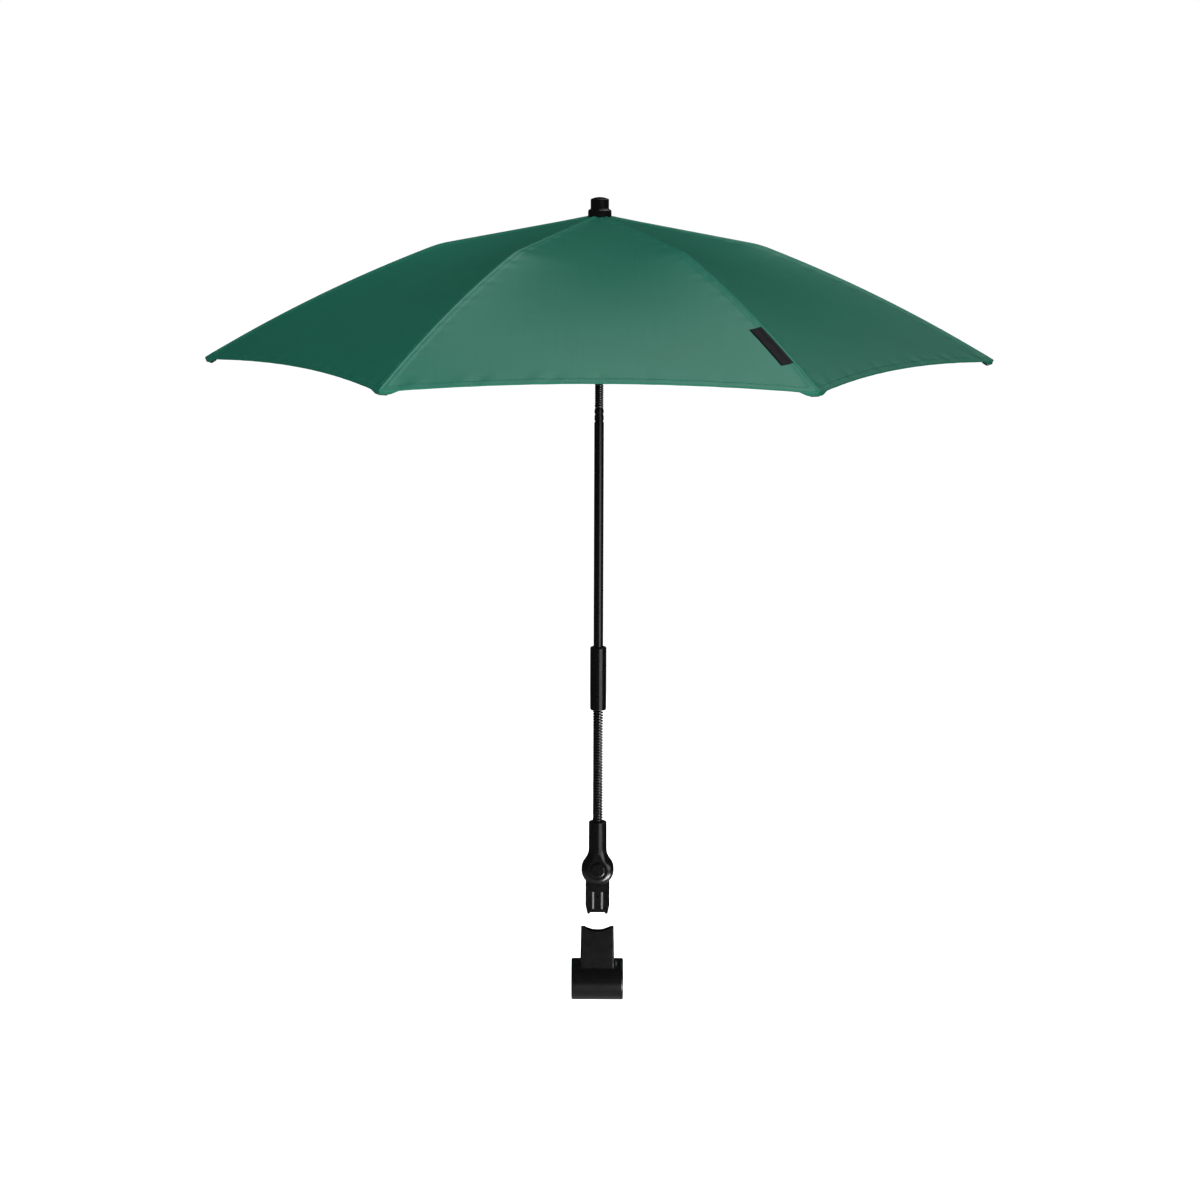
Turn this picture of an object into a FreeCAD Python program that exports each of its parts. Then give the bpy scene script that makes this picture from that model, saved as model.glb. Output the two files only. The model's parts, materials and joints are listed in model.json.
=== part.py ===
import FreeCAD, Part
import math
import os
import Sketcher

# A pram parasol: six folding ribs under a canopy, on a pole that tilts at a spring, stands on a
# gooseneck, swivels on a locking plug and drops into a clip on the pram's tube.
# Millimetres. X runs along the clipped tube, Y away from the viewer, Z up; the origin is the
# middle of the clip's bore. The pole stands in front of the bore by pole_offset.

V = FreeCAD.Vector
doc = FreeCAD.newDocument("pram_parasol")
sheet = doc.addObject("Spreadsheet::Sheet", "Sizes")

# Driving dimensions
SIZES = {
    # General clearances
    "fit_gap": (0.3, "space between pieces that move past each other"),
    "run_gap": (0.05, "radial play of a pin that turns in its hole"),
    "overrun": (2.0, "how far a cut reaches past the face that it opens"),
    # Tube clip
    "tube_radius": (14.0, "pram tube that the clip holds"),
    "liner_wall": (2.0, "rubber liner"),
    "clip_wall": (3.5, "clip shell outside the liner"),
    "clip_width": (48.6, "clip along the tube"),
    "clip_round": (1.6, "rounding of the shell's ends"),
    "mouth_half": (11.0, "half the opening that snaps over the tube"),
    "pole_offset": (9.0, "pole axis in front of the tube axis"),
    "neck_rise": (32.8, "top corners of the neck above the shell"),
    "neck_top_half": (15.3, "half the neck's width at its top"),
    "neck_foot_half": (16.2, "half the neck's width at the tube axis"),
    "neck_wall": (1.7, "neck wall in front of and behind the socket"),
    "neck_round": (1.5, "rounding of the neck's upright edges"),
    "neck_fillet": (3.0, "hollow rounding between neck and shell"),
    "saddle_depth": (3.3, "dip of the neck's top edge"),
    "saddle_radius": (24.0, "radius of that dip"),
    "socket_spare": (0.7, "space under the plug when it is home"),
    # Plug
    "plug_lift": (18.3, "plug end above the saddle as shown, drawn out of the clip"),
    "plug_reach": (41.0, "swivel axis to the plug's end"),
    "plug_taper": (7.1, "length of the tapered end"),
    "plug_half": (11.2, "half the plug's width"),
    "plug_end_half": (9.7, "half the width of its end"),
    "plug_thick": (6.4, "thickness of the plug and of its knuckle"),
    "plug_flange": (2.6, "side flange beside the recessed panel"),
    "panel_depth": (1.7, "depth of that panel beside the rails"),
    "web_depth": (0.6, "depth between the rails"),
    "panel_sill": (3.2, "plain band under the panel"),
    "rail_radius": (1.05, "half-round guide rail"),
    "rail_spread": (4.1, "rail centre from the middle"),
    "rail_length": (16.2, "length of a guide rail"),
    "peg_hole": (1.1, "radius of the blind hole between the rails"),
    "peg_depth": (3.2, "depth of that hole"),
    "peg_drop": (4.6, "hole below the top of the rails"),
    "foot_radius": (1.5, "rounded foot at each corner of the end"),
    # Swivel head
    "boss_radius": (15.5, "round boss of the swivel"),
    "cheek": (4.6, "each cheek of the fork"),
    "head_reach": (45.5, "swivel axis to the top of the neck"),
    "stem_radius": (8.3, "neck of the head at its top"),
    "stem_spread": (0.1, "how much wider it is below"),
    "flare_radius": (14.0, "hollow curve from neck to boss"),
    "boss_round": (7.0, "rounding of the boss, which makes its front a dome"),
    "stem_round": (0.8, "rounding of the neck's top edge"),
    # Swivel lock
    "pin_radius": (2.5, "swivel pin"),
    "pin_head_radius": (5.0, "head of the pin, behind"),
    "pin_head": (1.5, "thickness of that head"),
    "gear_radius": (9.8, "lock gear over its teeth"),
    "tooth_depth": (1.2, "depth of a tooth"),
    "gear_bite": (2.0, "gear depth held by the cheek, and by the knuckle"),
    "button_radius": (7.1, "push button"),
    "button_stand": (1.7, "button above the boss"),
    "button_crown": (1.2, "wall over the button's pin hole"),
    "button_round": (1.5, "rounding of the button"),
    "lock_wire": (0.6, "wire of the lock spring"),
    "lock_spring_radius": (4.3, "outside of the lock spring"),
    "lock_seat": (2.2, "depth of its seat in the gear"),
    "lock_pitch": (1.5, "rise of one turn"),
    # Gooseneck
    "goose_length": (105.4, "gooseneck between head and sleeve"),
    "goose_radius": (4.9, "outside of the winding"),
    "goose_wire": (2.0, "wire of the winding"),
    "goose_pitch": (2.5, "rise of one turn"),
    "goose_seat": (3.0, "winding hidden in each socket"),
    "stub_length": (13.0, "steel end of the gooseneck"),
    "grub_radius": (1.5, "set screws"),
    # Sleeve and pole
    "sleeve_length": (59.4, "joining sleeve"),
    "sleeve_radius": (7.5, "outside of the sleeve"),
    "sleeve_round": (1.3, "rounding of its ends"),
    "sleeve_grip": (28.0, "length of pole inside it"),
    "pole_radius": (4.4, "pole tube"),
    "pole_wall": (0.8, "wall of the pole tube"),
    "pole_show": (207.6, "lower pole above the sleeve"),
    # Tilt joint
    "ferrule_length": (13.0, "ferrule below and above the tilt spring"),
    "bead_radius": (4.25, "two beads rolled into each ferrule"),
    "groove_depth": (0.45, "grooves between the beads"),
    "spigot_length": (6.0, "ferrule spigot inside the pole"),
    "spring_spigot": (9.0, "ferrule spigot inside the spring"),
    "tilt_length": (32.0, "tilt spring between its ferrules"),
    "tilt_radius": (4.05, "outside of the tilt spring"),
    "tilt_wire": (1.6, "wire of the tilt spring"),
    "tilt_pitch": (2.1, "rise of one turn"),
    # Upper pole, crown and cap
    "mast_length": (125.4, "upper pole below the rib hinges"),
    "crown_radius": (12.6, "crown that carries the ribs"),
    "crown_height": (7.0, "height of the crown"),
    "crown_top": (0.3, "crown above the rib hinges"),
    "hinge_circle": (10.0, "rib hinges from the axis"),
    "hinge_wire": (0.6, "radius of the wire ring that hinges the ribs or stretchers"),
    "eye_radius": (1.55, "eye at a rib's inner end"),
    "eye_gap": (0.17, "play of the eye on its wire"),
    "eye_width": (2.4, "width of the eye"),
    "cap_radius": (8.3, "top cap"),
    "cap_rise": (10.9, "cap above its flange"),
    "cap_round": (1.0, "rounding of the cap's top edge"),
    "cap_dome": (19.0, "radius of the cap's domed top"),
    "flange_radius": (10.6, "flange over the canopy"),
    "flange_height": (6.4, "height of that flange"),
    "flange_round": (2.2, "rounding of that flange"),
    "flange_hollow": (1.2, "hollow between flange and cap"),
    "cap_top_wall": (4.0, "cap over the end of the pole"),
    # Ribs
    "rib_radius": (1.5, "rib rod"),
    "rib_inner": (128.0, "straight inner stretch, hinge to stretcher joint"),
    "rib_angle": (10.5, "its slope in degrees"),
    "kink_radius": (90.0, "bend past the stretcher joint"),
    "kink_angle": (10.5, "turn of that bend in degrees"),
    "rib_outer": (225.2, "bowed outer stretch"),
    "outer_angle": (10.0, "turn of that bow in degrees"),
    "tip_width": (10.5, "rounded cap on a rib's end, across the rib"),
    "tip_height": (5.4, "height of that cap"),
    "tip_length": (7.0, "length of that cap along the rib"),
    "tip_cover": (5.2, "length of rib inside it"),
    "tip_drop": (1.9, "middle of the cap below the rib's axis"),
    "tip_round": (2.3, "rounding of the cap"),
    # Stretchers and runner
    "ear_drop": (5.5, "stretcher joint below the rib"),
    "ear_radius": (2.3, "ear and fork round the joint"),
    "ear_width": (2.0, "thickness of the ear"),
    "fork_cheek": (1.0, "each cheek of the fork"),
    "fork_length": (9.0, "fork from the joint to the rod"),
    "rivet_radius": (1.0, "rivet through the joint"),
    "rivet_head": (0.5, "thickness of its heads"),
    "stretcher_radius": (1.3, "stretcher rod"),
    "tongue_length": (7.0, "flat tongue at the stretcher's inner end"),
    "runner_drop": (80.0, "open runner's hinges below the rib hinges"),
    "runner_circle": (12.0, "stretcher hinges from the axis"),
    "runner_flange": (14.2, "slotted flange of the runner"),
    "runner_flange_height": (6.0, "height of that flange"),
    "runner_radius": (7.2, "tube of the runner"),
    "runner_tail": (22.0, "runner below its hinges"),
    "runner_head": (5.0, "runner above its hinges"),
    # Runner catch
    "catch_length": (16.0, "sprung catch below the open runner"),
    "catch_thick": (1.2, "plate of the catch"),
    "catch_stand": (2.2, "catch outside the pole"),
    "catch_depth": (2.6, "plate inside the pole"),
    "catch_pin": (0.6, "radius of its pin"),
    # Canopy
    "fabric": (0.8, "thickness of the canopy solid"),
    "fabric_lift": (0.6, "canopy above the ribs"),
    "canopy_eye": (9.2, "canopy's inner edge from the axis"),
    "canopy_over": (3.0, "canopy's corner past the rib's end"),
    "scallop": (12.0, "edge drawn in between two ribs"),
    "gore_sag": (7.0, "fabric below the chord between two ribs"),
    "seam_gap": (0.3, "space between two canopy sections"),
    # Label
    "label_length": (56.0, "bare label beside a seam"),
    "label_width": (12.0, "its width"),
    "label_thick": (0.6, "its thickness"),
    "label_rise": (39.0, "its lower end above the canopy's corner"),
    "label_inset": (1.2, "its edge from the seam"),
}
# Counts and shares
RIBS = 6
TEETH = 24
LABEL_RIB = 6
TOOTH_WIDTH_SHARES = (-0.28, -0.14, 0.14, 0.28)
SCALLOP_SHARES = (0.0, 0.75, 1.0)
SAG_SHARES = (0.0, 0.75, 1.0)
ACROSS_SHARES = (0.0, 0.5, 1.0)
STRAIGHT_SHARES = (0.0, 0.5, 1.0)
KINK_SHARES = (0.33, 0.67, 1.0)
BOW_SHARES = (0.17, 0.33, 0.5, 0.67, 0.83, 1.0)
BEAD_SHARES = (0.12, 0.5, 0.62, 0.92)
RAMP_SHARE = 0.25

for row, (alias, (number, note)) in enumerate(SIZES.items(), start=1):
    sheet.set(f"A{row}", alias)
    sheet.set(f"B{row}", str(number))
    sheet.set(f"C{row}", note)
    sheet.setAlias(f"B{row}", alias)
doc.recompute()


class Size:
    """A length from the sheet, or a sum of such lengths: its number and its expression."""

    def __init__(self, number, text):
        self.number = number
        self.text = text

    def __float__(self):
        return self.number

    def __neg__(self):
        return Size(-self.number, f"(-{self.text})")

    def __add__(self, other):
        other = as_size(other)
        return Size(self.number + other.number, f"({self.text} + {other.text})")

    def __sub__(self, other):
        other = as_size(other)
        return Size(self.number - other.number, f"({self.text} - {other.text})")

    def __mul__(self, count):
        return Size(self.number * count, f"({self.text} * {count})")

    def __truediv__(self, count):
        return Size(self.number / count, f"({self.text} / {count})")


def as_size(value):
    """Zero and counts as sizes; a size stays as it is."""
    return value if isinstance(value, Size) else Size(float(value), f"{value}")


class Sheet:
    """The sheet's cells by alias."""

    def __getattr__(self, alias):
        return Size(float(sheet.get(alias)), f"Sizes.{alias}")


s = Sheet()

# Levels up the pole, each stacked on the one below
clip_bore = s.tube_radius + s.liner_wall
clip_outer = clip_bore + s.clip_wall
neck_top = clip_outer + s.neck_rise
saddle_low = neck_top - s.saddle_depth
boss_level = saddle_low + s.plug_lift + s.plug_reach
head_top = boss_level + s.head_reach
sleeve_level = head_top + s.goose_length
sleeve_top = sleeve_level + s.sleeve_length
ferrule_level = sleeve_top + s.pole_show
spring_level = ferrule_level + s.ferrule_length
spring_top = spring_level + s.tilt_length
mast_level = spring_top + s.ferrule_length
crown_level = mast_level + s.mast_length
runner_level = crown_level - s.runner_drop
# Dock travel: the boss comes down until it rests just above the saddle
dock_travel = s.plug_lift + s.plug_reach - s.boss_radius - s.fit_gap
# Canopy height above the rib hinges
fabric_level = s.rib_radius + s.fabric_lift
cap_level = crown_level + fabric_level + s.fabric + s.fit_gap
# Swivel fork, from the middle plane outwards
half_plug = s.plug_thick / 2
slot_half = half_plug + s.fit_gap
boss_half = slot_half + s.cheek
knuckle_radius = s.boss_radius - s.fit_gap * 2
slot_radius = knuckle_radius + s.fit_gap
gear_front = slot_half + s.gear_bite
gear_length = s.gear_bite * 2 + s.fit_gap
pocket_floor = s.gear_bite + s.gear_bite + s.fit_gap
goose_bore = s.goose_radius + s.fit_gap
pole_bore = s.pole_radius - s.pole_wall
runner_bore = s.pole_radius + s.fit_gap

nodes = []
AXIS_TURNS = {
    "X": FreeCAD.Rotation(V(0, 1, 0), 90),
    "Y": FreeCAD.Rotation(V(1, 0, 0), -90),
    "Z": FreeCAD.Rotation(),
}


def bind(obj, prop, size):
    """Tie a property to the sheet."""
    obj.setExpression(prop, as_size(size).text)


def place(obj, base):
    """Tie an object's position to the sheet."""
    for letter, size in zip("xyz", base):
        bind(obj, f"Placement.Base.{letter}", size)
    return obj


def on_pole(obj, level):
    """Stand an object on the pole's axis at a level."""
    return place(obj, (0, -s.pole_offset, level))


def cylinder(name, radius, height, base=(0, 0, 0), axis="Z"):
    obj = doc.addObject("Part::Cylinder", name)
    bind(obj, "Radius", radius)
    bind(obj, "Height", height)
    obj.Placement = FreeCAD.Placement(V(), AXIS_TURNS[axis])
    return place(obj, base)


def box(name, lengths, corner=None):
    obj = doc.addObject("Part::Box", name)
    for prop, size in zip(("Length", "Width", "Height"), lengths):
        bind(obj, prop, size)
    return place(obj, corner) if corner else obj


def fuse(name, *shapes):
    obj = doc.addObject("Part::MultiFuse", name)
    obj.Shapes = list(shapes)
    obj.Refine = True
    return obj


def cut(name, base, *tools):
    obj = doc.addObject("Part::Cut", name)
    obj.Base = base
    obj.Tool = tools[0] if len(tools) == 1 else fuse(f"{name}_cuts", *tools)
    obj.Refine = True
    return obj


def rounded(name, base, radius, chosen):
    """Fillet the edges of base that the test picks."""
    doc.recompute()
    obj = doc.addObject("Part::Fillet", name)
    obj.Base = base
    edges = enumerate(base.Shape.Edges, start=1)
    obj.Edges = [(number, float(radius), float(radius)) for number, edge in edges if chosen(edge)]
    return obj


def solid(name, shape, placement=None):
    """A piece whose shape is worked out here from the sheet's sizes."""
    obj = doc.addObject("Part::Feature", name)
    obj.Shape = shape
    if placement is not None:
        obj.Placement = placement
    return obj


def node(obj, label):
    """Name a finished sub-part."""
    obj.Label = label
    nodes.append(obj)
    return obj


def new_body(name):
    return doc.addObject("PartDesign::Body", name)


def outline(body, name, role, points):
    """A closed sketch of straight sides, each corner tied to the sheet."""
    sketch = body.newObject("Sketcher::SketchObject", name)
    plane = [feature for feature in body.Origin.OriginFeatures if feature.Role == role][0]
    sketch.AttachmentSupport = [(plane, "")]
    sketch.MapMode = "FlatFace"
    corners = [(as_size(across), as_size(up)) for across, up in points]
    spots = [V(float(across), float(up), 0) for across, up in corners]
    count = len(spots)
    for index in range(count):
        sketch.addGeometry(Part.LineSegment(spots[index], spots[(index + 1) % count]))
    for index in range(count):
        sketch.addConstraint(Sketcher.Constraint("Coincident", index, 2, (index + 1) % count, 1))
    for index, corner in enumerate(corners):
        for kind, axis, size in zip(("DistanceX", "DistanceY"), (-2, -1), corner):
            if size.text == "0":
                sketch.addConstraint(Sketcher.Constraint("PointOnObject", index, 1, axis))
                continue
            number = sketch.addConstraint(Sketcher.Constraint(kind, -1, 1, index, 1, float(size)))
            sketch.setExpression(f"Constraints[{number}]", size.text)
    return sketch


def turned(name, points):
    """A body turned about Z from a half section of (radius, height) corners."""
    body = new_body(name)
    turn = body.newObject("PartDesign::Revolution", f"{name}_turn")
    turn.Profile = outline(body, f"{name}_section", "XZ_Plane", points)
    turn.ReferenceAxis = (turn.Profile[0], ["V_Axis"])
    turn.Angle = 360
    body.Tip = turn
    return body


def padded_body(name, points, thickness):
    """A body padded both ways from the XZ plane."""
    body = new_body(name)
    pad = body.newObject("PartDesign::Pad", f"{name}_pad")
    pad.Profile = outline(body, f"{name}_section", "XZ_Plane", points)
    pad.Midplane = True
    bind(pad, "Length", thickness)
    body.Tip = pad
    return body


def edge_fillet(body, radius, chosen):
    """Round the edges of a body's last feature that the test picks."""
    doc.recompute()
    base = body.Tip
    names = [f"Edge{number}" for number, edge in enumerate(base.Shape.Edges, start=1) if chosen(edge)]
    fillet = body.newObject("PartDesign::Fillet", f"{body.Name}_round")
    fillet.Base = (base, names)
    bind(fillet, "Radius", radius)
    body.Tip = fillet
    return body


def is_rim(edge, radius, level):
    """Whether an edge is a level circle of this radius about Z at this height."""
    curve = edge.Curve
    return (isinstance(curve, Part.Circle) and math.isclose(curve.Radius, float(radius), abs_tol=1e-6)
            and math.isclose(curve.Center.z, float(level), abs_tol=1e-6))


def is_dome_edge(edge):
    """Whether an edge is the circle between the cap's wall and its dome."""
    if edge.Degenerated or not isinstance(edge.Curve, Part.Circle):
        return False
    return (math.isclose(edge.Curve.Radius, float(s.cap_radius), abs_tol=1e-6)
            and edge.Curve.Center.z > float(s.flange_height + s.cap_round * 2))


def is_upright(edge):
    """Whether an edge rises from end to end."""
    low, high = sorted(vertex.Point.z for vertex in edge.Vertexes)
    return high - low > float(s.neck_rise)


def is_neck_foot(edge):
    """Whether an edge lies where the neck meets the shell's round."""
    box_of = edge.BoundBox
    on_shell = all(math.isclose(math.hypot(vertex.Point.y, vertex.Point.z), float(clip_outer), abs_tol=1e-4)
                   for vertex in edge.Vertexes)
    inside = max(abs(box_of.XMin), abs(box_of.XMax)) < float(s.neck_foot_half + s.overrun)
    return on_shell and inside and box_of.ZMin > 0


def toothed_prism(radius, depth, near, far):
    """A toothed prism about Y between two distances; the teeth stand on a smaller circle."""
    corners = []
    step = 2 * math.pi / TEETH
    for tooth in range(TEETH):
        for share, reach in zip(TOOTH_WIDTH_SHARES, (radius - depth, radius, radius, radius - depth)):
            angle = (tooth + share) * step
            corners.append(V(reach * math.cos(angle), near, reach * math.sin(angle)))
    face = Part.Face(Part.makePolygon(corners + corners[:1]))
    return face.extrude(V(0, far - near, 0))


def biarc(start, start_way, end, end_way):
    """Two tangent arcs between two points with given directions."""
    chord = end - start
    ways = start_way + end_way
    a = 2 * (start_way.dot(end_way) - 1)
    b = -2 * chord.dot(ways)
    c = chord.dot(chord)
    reach = (-b - math.sqrt(b * b - 4 * a * c)) / (2 * a)
    first = start + start_way * reach
    second = end - end_way * reach
    joint = (first + second) / 2
    arcs = []
    for tail, apex, head in ((start, first, joint), (joint, second, end)):
        middle = (tail + head) / 2
        half = (head - tail).Length / 2
        turn = (apex - tail).getAngle(head - tail)
        bulge = (apex - middle).normalize() * (half * math.tan(turn / 2))
        arcs.append(Part.Arc(tail, middle + bulge, head).toShape())
    return arcs


def coil(name, outer, wire, space, pitch):
    """A spring along Z that fills a space, as one unbroken tube; prints its least gap to itself."""
    middle = outer - wire / 2
    turns = max(1, round((space - wire) / pitch * 2) / 2)
    rise = (space - wire) / turns
    half_turns = int(turns * 2)

    def point(half):
        angle = math.pi * half
        return V(middle * math.cos(angle), middle * math.sin(angle), wire / 2 + rise * half / 2)

    def way(half):
        angle = math.pi * half
        return V(-middle * math.sin(angle), middle * math.cos(angle), rise / (2 * math.pi)).normalize()

    arcs = []
    for half in range(half_turns):
        arcs += biarc(point(half), way(half), point(half + 1), way(half + 1))
    path = Part.Wire(arcs)
    ring = Part.Wire(Part.makeCircle(wire / 2, point(0), way(0)))
    shape = Part.Solid(path.makePipeShell([ring], True, False))
    samples = [point(half / 8) for half in range(half_turns * 8 + 1)]
    gap = min((far - near).Length - wire for index, near in enumerate(samples)
              for far in samples[index + 12:index + 24])
    print(f"{name}: {turns} turns, least gap to itself {gap:.2f} mm")
    return shape


def grub(name, inner, outer, level, low=0):
    """A set screw from behind, between two distances from the pole's axis."""
    return cylinder(name, s.grub_radius, outer - inner, (0, -s.pole_offset + inner, level + low), "Y")


# Tube clip
def make_clip():
    mouth = box("mouth", (s.clip_width + s.overrun * 2, clip_outer + s.overrun, s.mouth_half * 2),
                (-s.clip_width / 2 - s.overrun, 0, -s.mouth_half))
    barrel = cylinder("barrel", clip_outer, s.clip_width, (-s.clip_width / 2, 0, 0), "X")
    barrel = rounded("barrel_round", barrel, s.clip_round, lambda edge: isinstance(edge.Curve, Part.Circle))
    neck = padded_body("neck", [(-s.neck_foot_half, 0), (s.neck_foot_half, 0),
                                (s.neck_top_half, neck_top), (-s.neck_top_half, neck_top)],
                       s.plug_thick + s.fit_gap * 2 + s.neck_wall * 2)
    neck = edge_fillet(neck, s.neck_round, is_upright)
    place(neck, (0, -s.pole_offset, 0))
    blank = rounded("clip_blank_round", fuse("clip_blank", barrel, neck), s.neck_fillet, is_neck_foot)
    bore = cylinder("bore", clip_bore, s.clip_width + s.overrun * 2,
                    (-s.clip_width / 2 - s.overrun, 0, 0), "X")
    floor = boss_level - s.plug_reach - dock_travel - s.socket_spare - s.foot_radius
    socket = box("socket", ((s.plug_half + s.fit_gap) * 2, slot_half * 2, neck_top - floor + s.overrun),
                 (-s.plug_half - s.fit_gap, -s.pole_offset - slot_half, floor))
    saddle = cylinder("saddle", s.saddle_radius, clip_outer * 2,
                      (0, -s.pole_offset - clip_outer, saddle_low + s.saddle_radius), "Y")
    node(cut("clip_body", blank, bore, mouth, socket, saddle), "clip_body")

    lining = cylinder("lining", clip_bore, s.clip_width - s.clip_round * 2,
                      (-s.clip_width / 2 + s.clip_round, 0, 0), "X")
    hollow = cylinder("hollow", s.tube_radius, s.clip_width + s.overrun * 2,
                      (-s.clip_width / 2 - s.overrun, 0, 0), "X")
    node(cut("clip_liner", lining, hollow, mouth), "clip_liner")


# Plug that drops into the clip, with the swivel knuckle
def make_plug():
    knuckle = cylinder("knuckle", knuckle_radius, s.plug_thick, (0, -half_plug, 0), "Y")
    taper_level = s.plug_taper - s.plug_reach
    blade = padded_body("blade", [(-s.plug_half, 0), (s.plug_half, 0), (s.plug_half, taper_level),
                                  (s.plug_end_half, -s.plug_reach), (-s.plug_end_half, -s.plug_reach),
                                  (-s.plug_half, taper_level)], s.plug_thick)
    feet = [cylinder(f"foot_{side}", s.foot_radius, s.plug_thick,
                     ((s.plug_end_half - s.foot_radius) * side, -half_plug, -s.plug_reach), "Y")
            for side in (-1, 1)]
    blank = fuse("plug_blank", knuckle, blade, *feet)
    # The panel in front: deep beside the two half-round rails, shallow between them
    panel_low = s.panel_sill - s.plug_reach
    corner_y = -half_plug - s.overrun
    side_width = s.plug_half - s.plug_flange - s.rail_spread
    side_lengths = (side_width, s.panel_depth + s.overrun, s.rail_length)
    panels = [
        box("panel_left", side_lengths, (-s.rail_spread - side_width, corner_y, panel_low)),
        box("panel_middle", (s.rail_spread * 2, s.web_depth + s.overrun, s.rail_length),
            (-s.rail_spread, corner_y, panel_low)),
        box("panel_right", side_lengths, (s.rail_spread, corner_y, panel_low)),
    ]
    rails = [cylinder(f"rail_{side}", s.rail_radius, s.rail_length,
                      (s.rail_spread * side, s.rail_radius - half_plug, panel_low), "Z")
             for side in (-1, 1)]
    peg = cylinder("peg", s.peg_hole, s.peg_depth + s.overrun,
                   (0, corner_y, panel_low + s.rail_length - s.peg_drop), "Y")
    pocket = solid("gear_pocket", toothed_prism(float(s.gear_radius + s.fit_gap), float(s.tooth_depth),
                                                float(-half_plug - s.overrun),
                                                float(pocket_floor - half_plug)))
    pin_hole = cylinder("pin_hole", s.pin_radius, s.plug_thick + s.overrun * 2, (0, corner_y, 0), "Y")
    railed = fuse("plug_railed", cut("plug_panelled", blank, *panels), *rails)
    node(on_pole(cut("plug_body", railed, peg, pocket, pin_hole), boss_level), "plug_body")

    # Swivel pin, pressed into the knuckle, its head sunk in the rear cheek
    pin_end = gear_front + s.fit_gap
    shank = cylinder("shank", s.pin_radius, pin_end + boss_half - s.pin_head, (0, -pin_end, 0), "Y")
    head = cylinder("pin_cap", s.pin_head_radius, s.pin_head, (0, boss_half - s.pin_head, 0), "Y")
    node(on_pole(fuse("pivot_pin", shank, head), boss_level), "pivot_pin")


# Push button and gear that lock the swivel
def make_lock():
    button = cylinder("button_blank", s.button_radius, boss_half + s.button_stand - gear_front,
                      (0, -boss_half - s.button_stand, 0), "Y")
    front = -boss_half - s.button_stand
    button = rounded("button_round_edge", button, s.button_round,
                     lambda edge: isinstance(edge.Curve, Part.Circle)
                     and math.isclose(edge.Curve.Center.y, float(front), abs_tol=1e-6))
    hole = cylinder("button_hole", s.pin_radius + s.run_gap,
                    boss_half + s.button_stand - s.button_crown - gear_front + s.overrun,
                    (0, front + s.button_crown, 0), "Y")
    node(on_pole(cut("lock_button", button, hole), boss_level), "lock_button")

    gear_back = gear_length - gear_front
    blank = solid("gear_blank", toothed_prism(float(s.gear_radius), float(s.tooth_depth),
                                              float(-gear_front), float(gear_back)))
    gear_hole = cylinder("gear_hole", s.pin_radius + s.run_gap, gear_length + s.overrun * 2,
                         (0, -gear_front - s.overrun, 0), "Y")
    seat = cylinder("spring_seat", s.lock_spring_radius + s.fit_gap, s.lock_seat + s.overrun,
                    (0, gear_back - s.lock_seat, 0), "Y")
    node(on_pole(cut("lock_gear", blank, gear_hole, seat), boss_level), "lock_gear")

    seat_depth = gear_back - s.lock_seat
    space = pocket_floor - half_plug - seat_depth
    spring = coil("lock_spring", float(s.lock_spring_radius), float(s.lock_wire), float(space),
                  float(s.lock_pitch))
    spring.Placement = FreeCAD.Placement(V(0, float(seat_depth), 0), AXIS_TURNS["Y"])
    spot = V(0, -float(s.pole_offset), float(boss_level))
    node(solid("lock_spring", spring, FreeCAD.Placement(spot, FreeCAD.Rotation()) * spring.Placement),
         "lock_spring")


# Swivel head: a fork round the knuckle, and a neck that takes the gooseneck
def head_plate():
    """The boss and its flare into the neck, as one plate with rounded outlines."""
    radius, flare = float(s.boss_radius), float(s.flare_radius)
    side = float(s.stem_radius + s.stem_spread)
    half = float(boss_half)
    centre = V(side + flare, -half, math.sqrt((radius + flare) ** 2 - (side + flare) ** 2))
    way = V(centre.x, 0, centre.z).normalize()
    meet = V(way.x * radius, -half, way.z * radius)
    shoulder = V(side, -half, centre.z)
    bulge_way = ((meet - centre).normalize() + V(-1, 0, 0)).normalize()
    hollow = centre + bulge_way * flare

    def mirrored(point):
        return V(-point.x, point.y, point.z)

    edges = [
        Part.Arc(meet, V(0, -half, -radius), mirrored(meet)).toShape(),
        Part.Arc(mirrored(meet), mirrored(hollow), mirrored(shoulder)).toShape(),
        Part.LineSegment(mirrored(shoulder), shoulder).toShape(),
        Part.Arc(shoulder, hollow, meet).toShape(),
    ]
    return Part.Face(Part.Wire(edges)).extrude(V(0, 2 * half, 0)), centre.z


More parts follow.
